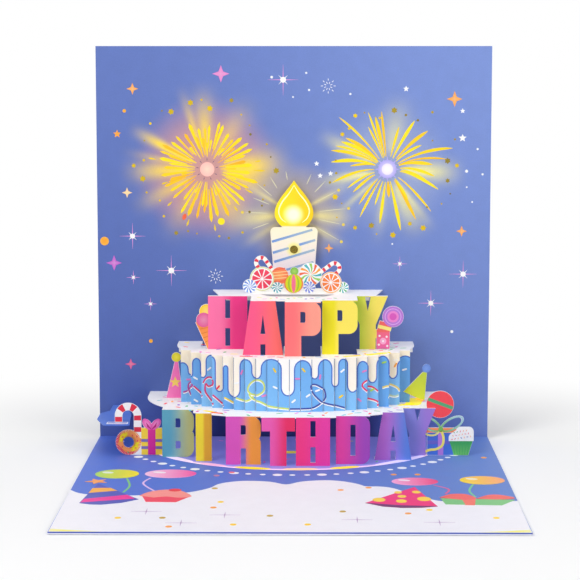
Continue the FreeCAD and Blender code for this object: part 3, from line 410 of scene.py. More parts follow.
def ribbon(line, widths):
    """The outline of a stroke along a line of points, with one width or one for each point."""
    left, right = [], []
    for i, (a, b) in enumerate(line):
        before, after = line[max(i - 1, 0)], line[min(i + 1, len(line) - 1)]
        da, db = after[0] - before[0], after[1] - before[1]
        half = (widths if isinstance(widths, float) else widths[i]) / 2
        length = hypot(da, db) or 1.0
        left.append((a - db / length * half, b + da / length * half))
        right.append((a + db / length * half, b - da / length * half))
    return left + right[::-1]


def smooth(line, steps=5):
    """A rounder line through the given points."""
    result = []
    for i in range(len(line) - 1):
        near = [line[min(max(i + step, 0), len(line) - 1)] for step in (-1, 0, 1, 2)]
        for t in (step / steps for step in range(steps)):
            result.append(tuple(
                0.5 * (2 * b + (c - a) * t + (2 * a - 5 * b + 4 * c - d) * t * t
                       + (3 * b - a - 3 * c + d) * t ** 3) for a, b, c, d in zip(*near)))
    return result + [line[-1]]


def resampled(line, pitch):
    """Points at even steps along a line."""
    points = [line[0]]
    ahead = pitch
    for first, second in zip(line, line[1:]):
        length = dist(first, second)
        while ahead <= length:
            share = ahead / length
            points.append(tuple(a + (b - a) * share for a, b in zip(first, second)))
            ahead += pitch
        ahead -= length
    return points


def ink(name, roughness=0.5, metallic=0.0, glow=0.0):
    """A print's finish: its colour is each shape's own tint, under the same paper grain."""
    finish = Finish(name)
    tint = finish.add("VertexColor", {"layer_name": "tint"}).outputs["Color"]
    return finish.paper(tint, roughness, 0.06, tint if glow else None, glow, metallic)


WHITE = "fafafa"
NAVY = "3c50aa"
YELLOW = "ffd700"
GOLD = "c4a428"
ORANGE = "faa53c"
PINK = "e682c8"
RED = "eb3c4b"
GREEN = "50af6e"
TEAL = "50b4be"
SKY = "78a5e6"
MAGENTA = "d73c96"
PURPLE = "825abe"
SPRINKLES = (RED, YELLOW, SKY, PINK, TEAL, MAGENTA, PURPLE, ORANGE, GREEN)

matt_ink = ink("matt_ink")
gloss_ink = ink("gloss_ink", roughness=0.35)
# lit_ink glows a little: painted light on the bursts' print
lit_ink = ink("lit_ink", glow=0.07)
foil_ink = ink("foil_ink", roughness=0.32, metallic=0.75)


# Steps of the cake, as the sheets are folded

LOWER = {"half": 66.5, "side": 13.0, "bow": 52.0, "shift": 0.1}
MIDDLE = {"half": 54.0, "side": 10.0, "bow": 41.5, "shift": 1.0}
UPPER = {"half": 36.0, "side": 4.0, "bow": 41.0, "shift": 1.9}
LOWER_TOP, MIDDLE_TOP, UPPER_TOP = (
    (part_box(node)[1].z - FLOOR_Z) / MM for node in ("lower_tier", "middle_tier", "upper_tier"))
SLATS = 21
SLAT_PITCH = 4.9
SLAT_GAP = 0.2


def edge(step, x):
    """Depth of a step's bowed front at one place across."""
    share = 1 - ((x - step["shift"]) / step["half"]) ** 2
    return step["side"] + step["bow"] * sqrt(max(share, 0.0))


# Letters: left edge, width, colours at the left and right, and the shares of the width between
# which the colour runs

LOWER_LETTERS = (
    (-57.5, 14.0, "58a4b8", "cccc76", 0.2, 1.0), (-42.2, 7.0, "f6de2c", "e2a822", 0.4, 0.6),
    (-28.8, 15.1, "de52b8", "f49836", 0.35, 0.75), (-13.3, 14.4, "f05ab0", "ec2260", 0.2, 0.8),
    (1.5, 14.7, "f43082", "ec34a0", 0.1, 0.9), (18.8, 14.7, "e2389e", "a042b4", 0.1, 0.9),
    (35.8, 16.2, "b868c8", "5c82d8", 0.2, 0.9), (47.1, 15.9, "8486d6", "a27ad4", 0.3, 0.9),
)
UPPER_LETTERS = (
    (-38.2, 17.6, "ff72a8", "f02c84", 0.3, 0.7), (-22.1, 17.8, "fa5486", "fe6a68", 0.2, 0.9),
    (-3.5, 15.8, "fe7074", "fc9c88", 0.2, 0.8), (12.9, 15.6, "f0e200", "fae65a", 0.3, 0.5),
    (24.5, 17.9, "b0ce28", "f8e460", 0.1, 0.8),
)


def dress_tiers():
    """Prints each letter's colours on its own front face, and the slats in two blues."""
    for node, letters, step, low, high in (
            ("lower_tier", LOWER_LETTERS, LOWER, 0.0, LOWER_TOP),
            ("upper_tier", UPPER_LETTERS, UPPER, MIDDLE_TOP, UPPER_TOP)):
        finish = Finish(node + "_print")
        colour = "fefcfb"
        for left, width, first, last, start, end in letters:
            depth = edge(step, left + width / 2)
            run = finish.across(left + width * start, left + width * end)
            face = finish.inside((left - 0.2, depth - 0.03, low - 0.5),
                                 (left + width + 0.2, depth + 0.03, high))
            colour = finish.mix(face, colour, finish.mix(run, first, last))
        clothe(node, finish.paper(colour))
    finish = Finish("middle_tier_print")
    front = finish.front((-60, MIDDLE["side"] - 2, LOWER_TOP - 1), (60, 60, MIDDLE_TOP - 0.42))
    first = (MIDDLE["shift"] - SLATS * SLAT_PITCH / 2) * MM
    slat = finish.calc("DIVIDE", finish.calc("SUBTRACT", finish.axes[0], first), SLAT_PITCH * MM)
    slat = finish.calc("FLOOR", slat)
    tone = finish.add("TexWhiteNoise", {"noise_dimensions": "1D"}, W=slat).outputs[0]
    blue = finish.mix(tone, "64a8ec", "82c0f4")
    clothe("middle_tier", finish.paper(finish.mix(front, "fefcfa", blue)))


dress_tiers()


# Card leaves

LEFT_BURST = (-39.5, 124.1)
RIGHT_BURST = (42.8, 124.2)
FLAME_GLOW = (-0.1, 103.6)
LEFT_BEAMS = (
    (182, 90, 1.0), (152, 300, 1.6), (168, 500, 0.5), (93, 90, 0.8), (108, 400, 0.7), (3, 30, 1.2),
    (-16, 90, 0.6), (208, 120, 0.6), (300, 20, 0.5), (58, 60, 0.4), (240, 60, 0.3),
)
RIGHT_BEAMS = (
    (-3, 60, 1.2), (153, 160, 1.0), (192, 160, 1.0), (222, 500, 0.6), (297, 50, 0.8),
    (308, 400, 0.5), (80, 40, 0.5), (262, 200, 0.4),
)
FLAME_BEAMS = (
    (186, 60, 0.8), (-4, 60, 0.8), (28, 300, 0.6), (148, 300, 0.6), (-32, 200, 0.5),
    (212, 200, 0.4),
)
# Painted light on the back leaf: a lighter haze and soft warm beams round each burst's heart and
# round the flame
GLOWS = (
    (LEFT_BURST, LEFT_BEAMS, "d2988c", "fedc46", 42),
    (RIGHT_BURST, RIGHT_BEAMS, "96a4cc", "ece69e", 38),
    (FLAME_GLOW, FLAME_BEAMS, "aaa0a0", "f0e296", 32),
)


def dress_leaves():
    finish = Finish("inside_print")
    x = finish.across(-90, 90)
    run = finish.calc("MULTIPLY", finish.rise(0, 180), 0.35)
    blue = finish.mix(finish.calc("MULTIPLY_ADD", x, 0.65, run), "475fa8", "778fd0")
    # Painted light: each glow lightens the leaf near its centre and lays warm beams out from it
    for centre, beams, glow_tone, tint, reach in GLOWS:
        place = (centre[0], 0, centre[1])
        distance = finish.far(place)
        glow_share = finish.between(distance, 0.012, 0.85 * reach * MM, 0.9, 0.0)
        fall = finish.calc("MULTIPLY", finish.between(distance, 0.012, reach * MM, 1.0, 0.0),
                           finish.between(distance, 0.005, 0.011))
        blue = finish.mix(glow_share, blue, glow_tone)
        blue = finish.mix(finish.calc("MULTIPLY", fall, finish.beams(place, beams)), blue, tint)
    shadow = finish.rise(58, 68, 0.6, 0.0)
    for side in (-1, 1):
        shadow = finish.calc("MULTIPLY", shadow, finish.across(side * 34, side * 43, 1.0, 0.0))
    blue = finish.mix(shadow, blue, "1e2258")
    blue = finish.mix(finish.faces(2, 1), blue, finish.mix(x, "4f70ce", "6081c8"))
    blue = finish.mix(finish.front((-91, 179, -2), (91, 181, 2)), blue, "404eaa")
    clothe("liner", finish.paper(blue, grain=0.13))
    for node, tone in (("cover", "4a62b8"), ("core", "eceae4")):
        finish = Finish(node + "_paper")
        patch = finish.mix(finish.noise(900, 6), blend(tone, NAVY, 0.06), blend(tone, WHITE, 0.1))
        front = finish.front((-91, 178, -4), (91, 182, 2))
        clothe(node, finish.paper(finish.mix(front, patch, "e4e6f0")))


dress_leaves()


# Back leaf: stars, foil bursts and light rays

FOUR_POINT_STARS = (
    (-73.4, 160.7, 2.7, ORANGE), (73.2, 156.1, 3.6, ORANGE), (77.0, 95.8, 2.5, ORANGE),
    (16.2, 87.9, 2.2, ORANGE), (-76.3, 113.4, 2.4, "ffd696"), (-33.1, 167.5, 3.9, PINK),
    (-75.4, 33.9, 2.6, "e6508c"), (-82.6, 81.0, 3.6, "c45ac8"),
)
EIGHT_RAY_STARS = (
    (-4.8, 164.8, 7.0), (-74.0, 93.4, 6.0), (-56.3, 77.5, 7.0), (-73.8, 74.3, 3.2),
    (48.8, 80.7, 3.4), (63.2, 62.5, 6.0), (77.9, 76.0, 6.4), (-66.0, 62.0, 3.0),
)
FIVE_POINT_STARS = (
    (51.1, 160.7, 1.4), (76.9, 150.7, 1.2), (77.0, 138.4, 1.9), (10.5, 126.7, 1.3),
    (12.1, 121.2, 1.3), (16.9, 122.2, 1.3), (-80.6, 140.2, 1.9),
)
WHITE_DOTS = (
    (5.7, 167.9, 0.5), (7.0, 160.2, 0.5), (-0.3, 157.0, 0.4), (25.8, 158.4, 0.5),
    (83.9, 133.4, 0.5), (79.0, 123.3, 0.7), (86.3, 121.9, 0.5), (79.1, 116.0, 0.4),
    (81.7, 109.2, 0.4), (45.3, 89.9, 0.4), (73.0, 49.3, 0.7), (-10.0, 166.0, 0.6),
)
ORANGE_DOTS = ((-86.9, 91.1, 2.0), (-77.2, 150.7, 0.8), (-66.0, 44.7, 0.9))
SPARK_RINGS = ((15.7, 162.0), (-35.9, 74.9))


def print_sky():
    sky = Print("sky_stars", "liner", matt_ink)
    for x, y, reach, colour in FOUR_POINT_STARS:
        sky.stamp(star(x, y, 4, reach, reach * 0.38), blend(colour, WHITE, 0.2), 0, colour)
    for x, y, reach in EIGHT_RAY_STARS:
        for i in range(8):
            share, width, tone = ((1, 0.42, "e296d7"), (0.42, 0.6, WHITE))[i % 2]
            tip = polar(x, y, reach * share, 45 * i + 90)
            sky.stamp(ribbon([(x, y), tip], [width, 0.06]), tone, i % 2)
        sky.stamp(disc(x, y, reach * 0.19, 14), WHITE, 2)
    for x, y, reach in FIVE_POINT_STARS:
        sky.stamp(star(x, y, 5, reach, reach * 0.45), ORANGE if x < -60 else WHITE)
    for x, y, reach in WHITE_DOTS:
        sky.stamp(disc(x, y, reach, 12), WHITE)
    for x, y, reach in ORANGE_DOTS:
        sky.stamp(disc(x, y, reach, 18), "fca01e", 0, "fcb43c")
    for x, y in SPARK_RINGS:
        for radius, first in ((2.9, 0), (1.5, 22)):
            for turn in range(first, first + 360, 45):
                sky.stamp(capsule(*polar(x, y, radius, turn), 1.0, 0.28, turn), WHITE)
    sky.done()


def petal_line(centre, angle, start, end, droop=0.0, steps=4):
    """A stroke that leaves a burst's heart and bends down towards its end."""
    line = []
    for step in range(steps):
        reach = start + (end - start) * step / (steps - 1)
        x, y = polar(*centre, reach, angle)
        line.append((x, y - droop * ((reach - start) / 22) ** 2))
    return line


def tapers(steps, width, point_share):
    """Widths along a stroke: thin at its start, full at point_share, and rounded off at its end."""
    widths = []
    for share in (step / (steps - 1) for step in range(steps)):
        fall = (share - point_share) / (1 - point_share)
        widths.append(width * (0.25 + 0.75 * share / point_share if fall < 0
                               else sqrt(max(1 - fall ** 2, 0.02))))
    return widths


def print_left_burst():
    burst = Print("left_burst", "liner", lit_ink)
    for ring, count, start, low, high, width in (
            (0, 36, 6.6, 12, 19, 1.3), (1, 40, 9.5, 17.5, 24, 1.6)):
        for i in range(count):
            angle = (i + rng.uniform(-0.25, 0.25)) * 360 / count + 5 * ring
            end = rng.uniform(low, high)
            line = petal_line(LEFT_BURST, angle, start + rng.uniform(-1, 1.5), end, 0.8, 9)
            tone = blend("fade00", "f6b20a", rng.random() ** 2)
            burst.stamp(ribbon(line, tapers(9, width * rng.uniform(0.65, 1.1), 0.87)), tone, ring)
            if ring and i % 3 == 0 and sin(radians(angle)) < 0.4:
                tip = petal_line(LEFT_BURST, angle + 2.865, end + 1.5, end + rng.uniform(4, 7), 0.8)
                burst.stamp(ribbon(tip, tapers(4, 0.9, 0.6)), "e8c814")
    for i in range(9):
        tick = petal_line(LEFT_BURST, 40 * i + 11, 3.9, 5.2, steps=3)
        burst.stamp(ribbon(tick, tapers(3, 0.4, 0.5)), "6e5474")
    burst.stamps((disc(*LEFT_BURST, 3.3, 28), "fdd6c0", 2, "fabab0"),
                 (disc(-33.2, 100.2, 1.6), "fae200"), (oval(-50.1, 102.3, 0.9, 1.5, -20), "ee603c"))
    burst.done()


RIGHT_STROKES = (
    (-22.1, 23.6), (-8.8, 25.7), (-5.6, 23.9), (-8.8, 19.3), (-2.8, 26.2), (5.2, 19.3),
    (12.3, 22.0), (18.3, 17.4), (15.5, 11.0), (29.7, 9.6), (27.0, 4.6), (-23.6, 10.6), (20.6, 2.1),
    (21.5, -3.2), (23.3, -9.2), (20.1, -19.3), (13.2, -23.0), (6.3, -28.0), (0.8, -12.9),
    (-3.3, -24.8), (-5.6, -16.5), (-12.5, -22.0), (-12.9, -16.1), (-15.7, -10.6), (-18.2, -8.7),
    (-25.1, -6.2), (-17.0, 1.4), (-25.6, 3.2), (-25.6, 8.5), (-21.0, 12.5), (-19.0, 14.2),
    (18.5, -5.5), (9.6, -14.0),
)


def print_right_burst():
    """Strokes that leave the heart steeply and bow over towards their ends."""
    burst = Print("right_burst", "liner", lit_ink)
    for number, (a, b) in enumerate(RIGHT_STROKES):
        aim = Vector((a, b + 0.22 * abs(a))).normalized() * rng.uniform(5.2, 6.4)
        bow = (0.55 * a, 0.55 * b + 0.14 * abs(a))
        line = [tuple(centre + (1 - t) ** 2 * first + 2 * t * (1 - t) * middle + t * t * last
                      for centre, first, middle, last in zip(RIGHT_BURST, aim, bow, (a, b)))
                for t in (step / 9 for step in range(10))]
        tone = blend("fae000", "f4c008", rng.random() ** 2)
        burst.stamp(ribbon(line, tapers(10, rng.uniform(1.0, 1.8), 0.62)), tone, number % 3)
    for i in range(16):
        spike = petal_line(RIGHT_BURST, 22.5 * i, 1.5, 4.8 if i % 2 else 5.8, steps=3)
        burst.stamp(ribbon(spike, [1.3, 0.8, 0.1]), "b0a6e8", 3)
    burst.stamps((disc(*RIGHT_BURST, 4.2, 28), "f0e8ff", 4, "aaa2e8"),
                 (disc(*RIGHT_BURST, 2.6, 28), "fcf8ff", 5, "eae2ff"))
    burst.done()


def print_foil_dots():
    foil = Print("foil_dots", "liner", foil_ink)
    for centre, low, high in ((LEFT_BURST, 25, 34), (RIGHT_BURST, 21, 34)):
        for i in range(30):
            angle = i * 12 + rng.uniform(-5, 5)
            place = polar(*centre, rng.uniform(low, high), angle)
            radius = rng.choice((0.4, 0.5, 0.6, 0.9, 1.2))
            tone = blend("78703c", YELLOW, rng.random() * 0.9)
            if radius > 0.8:
                foil.stamp(star(*place, 6, radius * 1.3, radius * 0.8, rng.uniform(0, 60)), tone)
            else:
                foil.stamp(disc(*place, radius, 12), tone)
    foil.done()


RAYS = ((-30, 13, 24), (-12, 12, 22), (6, 12, 24), (28, 13, 22), (46, 14, 21), (66, 15, 20),
        (100, 16, 20), (122, 14, 20), (140, 13, 22), (158, 12, 20), (178, 12, 22), (200, 12, 20))


def print_flame_rays():
    """Pale rays that fan out behind the flame, with a foil dot at the end of each long one."""
    # The rays' ink glows: painted light on printed rays
    rays = Print("flame_rays", "liner", ink("ray_ink", glow=0.25))
    for angle, start, end in RAYS:
        line = petal_line(FLAME_GLOW, angle, start, end)
        rays.stamp(ribbon(line, [0.2, 0.45, 0.35, 0.1]), "c4c0a0")
        if end > 21:
            rays.stamp(disc(*polar(*FLAME_GLOW, end + 1.4, angle), 0.7, 12), "d6be46")
    rays.done()


print_sky()
print_left_burst()
print_right_burst()
print_foil_dots()
print_flame_rays()


# Icing on the slats: drips between raised fingers, given by their walls, ends and tops

DRIPS = (
    (-47.1, -44.7, 12.4), (-41.2, -38.4, 13.0), (-34.2, -30.5, 7.3), (-28.5, -23.1, 5.5),
    (-17.9, -13.7, 14.4), (-5.0, 0.8, 7.1), (8.0, 11.2, 14.5), (17.1, 20.1, 10.8),
    (24.0, 28.4, 8.0), (33.1, 37.0, 11.4), (42.5, 46.4, 11.9),
)
FINGER_TOPS = (17.8, 20.8, 23.0, 19.3, 22.6, 23.1, 22.7, 22.9, 22.9, 21.3, 22.7, 21.0)
ICING_HIGH = MIDDLE_TOP - LOWER_TOP - 0.05


def icing_line():
    """The lower edge of the icing from left to right, across and up from the slats' foot."""
    line = []
    reach = SLATS * SLAT_PITCH / 2 + 1.5
    left = MIDDLE["shift"] - reach
    walls = [drip[0] for drip in DRIPS] + [MIDDLE["shift"] + reach]
    for i, (top, right) in enumerate(zip(FINGER_TOPS, walls)):
        half = (right - left) / 2
        rise = min(half * 1.3, 4.0)
        line += oval((left + right) / 2, top - rise, half, rise, start=180, turn=-180, count=10)
        if i < len(DRIPS):
            near, left, low = DRIPS[i]
            half = (left - near) / 2
            rise = min(half * 1.4, 3.6)
            line += oval((near + left) / 2, low + rise, half, rise, start=180, turn=180, count=10)
    return line


def slat_spans():
    """Left, right and depth of each slat."""
    half = (SLAT_PITCH - SLAT_GAP) / 2
    middles = [MIDDLE["shift"] + (i - (SLATS - 1) / 2) * SLAT_PITCH for i in range(SLATS)]
    return [(middle - half, middle + half, edge(MIDDLE, middle)) for middle in middles]


def within(line, left, right):
    """The part of a left-to-right line between two places across."""
    cut = []
    for first, second in zip(line, line[1:]):
        for x in (left, right):
            if first[0] < x < second[0]:
                share = (x - first[0]) / (second[0] - first[0])
                cut.append((x, first[1] + (second[1] - first[1]) * share))
        if left <= second[0] <= right:
            cut.append(second)
    return cut


def print_icing():
    icing = Print("icing", "icing_paper", gloss_ink, y=LOWER_TOP)
    line = icing_line()
    for left, right, depth in slat_spans():
        icing.sheet = upright(depth)
        left, right = left + 0.03, right - 0.03
        lower = within(line, left, right)
        warm = min(abs((left + right) / 2 - MIDDLE["shift"]) / 45, 1.0)
        icing.stamp(lower + [(right, ICING_HIGH), (left, ICING_HIGH)],
                    blend("fffdfa", "fff2d6", warm))
        rim = [point for i, point in enumerate(lower)
               if i == 0 or dist(point, lower[i - 1]) > 0.02]
        icing.stroke(rim, 0.55, "4270ca", 1)
        heights = [y for x, y in lower]
        for i in range(2):
            x, low = rng.uniform(left + 0.5, right - 0.5), max(heights) + 0.6
            if low < ICING_HIGH - 1.4 and min(heights) < 12:
                icing.stamp(capsule(x, low, 1.0, 0.35, 90), WHITE, 1)
    icing.done()


STREAMERS = (
    ("d62c6e", ((-39.8, 10.6), (-38.6, 12.5), (-36.8, 13.2), (-35.3, 12.1), (-35.6, 10.0),
                (-37.4, 9.0), (-38.6, 10.2), (-38.9, 7.0), (-37.4, 4.4), (-35.1, 1.5))),
    ("b43c96", ((-49.4, 4.4), (-47.1, 5.4), (-44.9, 8.8), (-46.5, 8.7), (-47.1, 6.5), (-46.2, 3.9),
                (-45.3, 3.0))),
    ("d62c6e", ((-44.3, 8.4), (-42.2, 6.5), (-40.1, 4.5))),
    ("d62c6e", ((-35.4, 5.8), (-33.0, 3.7), (-30.5, 1.5))),
    ("f0d23c", ((-30.2, 5.2), (-28.0, 4.0), (-25.9, 2.8))),
    ("cede6e", ((-25.0, 5.4), (-20.7, 4.3), (-17.4, 6.2), (-19.6, 8.9), (-18.8, 11.8),
                (-15.7, 13.9), (-12.9, 12.6), (-12.6, 9.2), (-15.7, 7.1), (-19.0, 7.5),
                (-17.4, 5.3), (-14.0, 4.1), (-10.6, 2.5), (-6.2, 1.8), (-1.1, 1.3))),
    ("3848a0", ((-1.2, 1.3), (4.4, 1.4), (8.9, 1.8), (12.2, 3.7), (13.9, 5.3), (14.4, 7.0),
                (13.6, 9.8), (11.6, 11.3), (9.4, 12.1), (8.0, 11.4), (8.6, 8.8), (10.5, 6.3),
                (13.6, 3.9), (18.4, 2.6), (23.4, 1.2))),
    ("e22c64", ((33.0, 13.1), (31.0, 11.7), (30.7, 10.0), (33.0, 7.8))),
    ("e22c64", ((33.0, 9.8), (35.3, 9.4), (37.6, 7.6))),
    ("e22c64", ((33.0, 4.4), (35.9, 3.7), (37.6, 2.7), (37.4, 1.0))),
    ("eed66e", ((39.6, 8.7), (42.9, 9.4), (46.4, 7.9), (47.7, 5.9))),
    ("bed6be", ((42.3, 4.6), (45.3, 4.0), (47.1, 4.6))),
)
CONFETTI = (
    (-36.7, 16.9, 40, WHITE), (-43.4, 11.9, -30, WHITE), (-43.3, 1.8, -30, WHITE),
    (-7.9, 18.3, -60, YELLOW), (-7.5, 10.7, -25, WHITE), (-11.7, 6.9, 20, PINK),
    (0.4, 4.8, 40, WHITE), (-46.5, 10.2, 0, PINK), (-21.4, 16.8, 70, PINK), (2.2, 14.7, 0, PINK),
    (4.1, 18.5, -50, YELLOW), (13.0, 15.4, 80, PINK), (6.7, 7.2, 35, WHITE), (10.8, 9.4, 20, WHITE),
    (21.1, 6.4, 35, YELLOW), (22.1, 17.8, 40, WHITE), (31.4, 17.0, 20, PINK),
    (49.9, 14.9, 15, WHITE), (40.3, 19.9, 15, "aadc5a"), (35.0, 8.2, 30, "aadc5a"),
    (-33.0, 9.2, 50, RED), (28.4, 4.2, -35, PINK), (45.6, 18.0, 60, ORANGE),
    (-25.0, 12.0, 10, WHITE),
)


def stretches(line, left, right):
    """The parts of a fine line that lie between two places across."""
    parts, part = [], []
    for point in line + [(right + 1, 0)]:
        if left <= point[0] <= right:
            part.append(point)
        elif part:
            if len(part) > 2:
                parts.append(part[:-1:3] + [part[-1]])
            part = []
    return parts


def print_streamers():
    """Curled streamers over white shadows, each crossing a layer higher, and confetti on top."""
    party = Print("streamers", "icing_paper", matt_ink, y=LOWER_TOP)
    curves = [(colour, resampled(smooth(line, 8), 0.12)) for colour, line in STREAMERS]
    spans = slat_spans()
    for left, right, depth in spans:
        party.sheet = upright(depth)
        layer = 2
        for colour, curve in curves:
            for part in stretches(curve, left, right):
                party.stroke([(a, b - 0.5) for a, b in part], 0.6, WHITE, layer)
                party.stroke(part, 0.7, colour, layer + 0.5)
                layer += 1
    party.base = 8
    for x, y, tilt, colour in CONFETTI:
        for left, right, depth in spans:
            if left <= x <= right:
                place = min(max(x, left + 1.2), right - 1.2)
                party.sheet = upright(depth)
                party.stamp(capsule(place, y, 2.3, 0.75, tilt), colour, 4)
    party.done()


print_icing()
print_streamers()


# Sprinkles on the top of each step

PATCHES = (
    (54.5, 26.0, 19.0, 7.0, 100, LOWER_TOP, "ffec32"),
    (50.5, 33.0, 9.0, 3.2, 150, LOWER_TOP, "ffe414"), (57.5, 20.5, 7.0, 2.4, 70, LOWER_TOP, ORANGE),
    (37.0, 37.5, 12.0, 3.4, 145, MIDDLE_TOP, "ffe21e"),
    (26.0, 43.5, 9.0, 2.4, 155, MIDDLE_TOP, YELLOW), (-20.5, 45.0, 6.0, 2.0, 12, MIDDLE_TOP, RED),
    (-36.0, 51.0, 8.0, 2.2, 40, LOWER_TOP, YELLOW), (-33.0, 54.0, 6.0, 2.2, 25, LOWER_TOP, RED),
)


def print_sprinkles():
    # The sprinkles' ink glows: painted light that lifts them and the patches out of shade
    piece = Print("sprinkles", "tier_paper", ink("sprinkle_ink", glow=0.3))
    for step, height, inner, count in (
            (LOWER, LOWER_TOP, MIDDLE, 46), (MIDDLE, MIDDLE_TOP, UPPER, 40)):
        piece.sheet = level(height)
        others = []
        while len(others) < count:
            x = step["shift"] + rng.uniform(-1, 1) * (step["half"] - 3)
            y = rng.uniform(3, step["side"] + step["bow"])
            near = edge(inner, x) if abs(x - inner["shift"]) < inner["half"] else 0
            clear = all(dist((x, y), other) > 3.7 for other in others)
            if clear and near + 1.4 < y < edge(step, x) - 2.6:
                piece.stamp(capsule(x, y, rng.uniform(2.4, 3.8), 1.1, rng.uniform(0, 180)),
                            rng.choice(SPRINKLES))
                others.append((x, y))
    piece.base = 1
    for x, y, length, width, tilt, height, tone in PATCHES:
        piece.sheet = level(height)
        piece.stamp(capsule(x, y, length, width, tilt), tone)
    piece.sheet = level(UPPER_TOP)
    for i in range(14):
        x, y = UPPER["shift"] - 17 + 2.6 * i, 29 + 6 * (i * 5 % 7) / 6
        piece.stamp(capsule(x, y, 2.4, 0.9, rng.uniform(0, 180)), rng.choice(SPRINKLES))
    piece.done()


print_sprinkles()


# Floor leaf

PLATE = {"half": 69.5, "side": 6.8, "bow": 65.2, "shift": 0.1}
CLOUD = (
    (-90, 111), (-83.9, 118.0), (-70, 121), (-55, 119), (-41.6, 114.8), (-33.6, 107.0),
    (-30.1, 99.5), (-24.0, 95.0), (-17.7, 93.7), (-9.0, 95.2), (-2.4, 100.1), (3.4, 95.2),
    (9.0, 93.0), (15.5, 92.2), (22.0, 94.6), (27.6, 99.4), (30.5, 103.3), (36.0, 103.6),
    (41.0, 106.0), (46.0, 112.7), (58.4, 128.5), (75, 130.5), (90, 128.6),
)
BALLOONS = (
    (-74.0, 81.1, 9.3, 8.6, "aad75a", "f5e100", ((-69.0, 89.7), (-66.6, 103.5), (-68.1, 115.1)),
     "82c878"),
    (-51.4, 80.5, 10.9, 8.2, "fcc8e8", "f446a5", ((-59.2, 88.6), (-61.4, 99.1), (-55.7, 112.7)),
     "e2beec"),
    (51.1, 94.4, 9.7, 7.2, "faaad7", "f03c78", ((58.7, 101.1), (64.1, 108.3), (62.2, 116.8)),
     "dc6496"),
    (79.3, 91.7, 9.4, 7.8, "fcda14", "faa06e", ((74.9, 99.3), (72.3, 111.1), (73.9, 122.3)),
     "78c896"),
)
FLOOR_CONFETTI = (
    (-66.1, 157.9, YELLOW), (-49.0, 157.7, GOLD), (-45.6, 171.4, ORANGE), (-21.5, 168.0, YELLOW),
    (-27.9, 131.4, YELLOW), (-30.3, 140.8, ORANGE), (-7.9, 154.1, GOLD), (-31.4, 107.6, GOLD),
    (45.4, 149.8, ORANGE), (54.0, 144.0, YELLOW), (78.8, 156.7, YELLOW), (20.2, 146.9, GOLD),
    (6.6, 167.7, YELLOW), (31.5, 105.7, ORANGE), (20.0, 110.1, ORANGE), (42.9, 81.1, ORANGE),
    (53.0, 81.0, ORANGE), (84.1, 46.7, ORANGE), (-25.7, 77.6, "f06e78"), (-31.8, 83.8, "c882a0"),
)
SPARKLES = ((-56.0, 147.5), (-41.4, 165.7), (-25.3, 153.0), (25.5, 160.1), (56.6, 163.9))
RIM_PATCHES = (
    (-25, -9, "fada18"), (16, 30, "fae028"), (-4, 12, "face96"), (-57, -43, "f0d6f0"),
    (-41, -28, "eeb0d6"), (35, 58, "ded2fa"),
)
FLOOR_EDGE = 179.2


def plate_line(grow, count=60):
    """The plate's edge moved outwards, from left to right."""
    return [(PLATE["shift"] - (PLATE["half"] + grow) * cos(pi * i / count),
             PLATE["side"] + (PLATE["bow"] + grow) * sin(pi * i / count)) for i in range(count + 1)]


def print_plate():
    # The plate's ink glows: painted light that lifts the plate where it lies in shade behind the
    # letters
    plate = Print("cake_plate", "liner", ink("plate_ink", glow=0.3), level())
    for layer, (grow, colour) in enumerate(((0.9, "f6d8ee"), (-0.6, "b09cdc"), (-2.0, "8282d0"))):
        half = PLATE["half"] + grow
        ends = [(PLATE["shift"] + half, 1.0), (PLATE["shift"] - half, 1.0)]
        plate.stamp(plate_line(grow) + ends, colour, layer)
    for left, right, tone in RIM_PATCHES:
        part = [point for point in plate_line(-0.9, 160) if left <= point[0] <= right]
        middle = (len(part) - 1) / 2
        widths = [4.0 * sqrt(max(1 - ((i - middle) / middle) ** 2, 0.01)) for i in range(len(part))]
        plate.stamp(ribbon(part, widths), tone, 3)
    plate.stamp(bar(-6, 33.5, 5, 38.5), "f6e23c", 3)
    for i in range(34):
        x = 3.5 * (i - 16.5)
        y = 8 + (edge(PLATE, x) - 15) * (i * 5 % 17) / 16
        plate.stamp(capsule(x, y, 2.4, 0.8, rng.uniform(0, 180)), rng.choice(SPRINKLES), 4)
    plate.done()


def print_arc():
    dots = Print("dotted_arc", "liner", matt_ink, level())
    line = plate_line(10.4, 200)
    walked, number = 0.0, 0
    for last, point in zip(line, line[1:]):
        walked += dist(point, last)
        if walked > 5.3 and point[1] > 12:
            dots.stamp(disc(*point, 1.3 if number % 3 else 2.1, 16), "f4f6fc")
            walked = 0.0
            number += 1
    dots.done()


def print_cloud():
    cloud = Print("cloud", "liner", matt_ink, level())
    cloud.stamp(smooth(CLOUD, 4) + [(89.8, FLOOR_EDGE), (-89.8, FLOOR_EDGE)], "f3f1f8")
    for side in (-1, 1):
        corner = [(side * a, b) for a, b in ((89.6, 179.1), (70, 179.1), (89.6, 175))]
        cloud.stamp(corner, "f4ec5a", 1, "f6f0aa")
    for x, y, colour in FLOOR_CONFETTI:
        cloud.stamp(oval(x, y, 1.3, 1.5, count=14), colour, 2)
    for x, y in SPARKLES:
        for angle, reach in ((0, -6.0), (0, 6.0), (90, -5.0), (90, 5.0)):
            ray = [(x, y), polar(x, y, reach, angle)]
            cloud.stamp(ribbon(ray, [0.5, 0.05]), "bea0c8", 3)
    cloud.done()


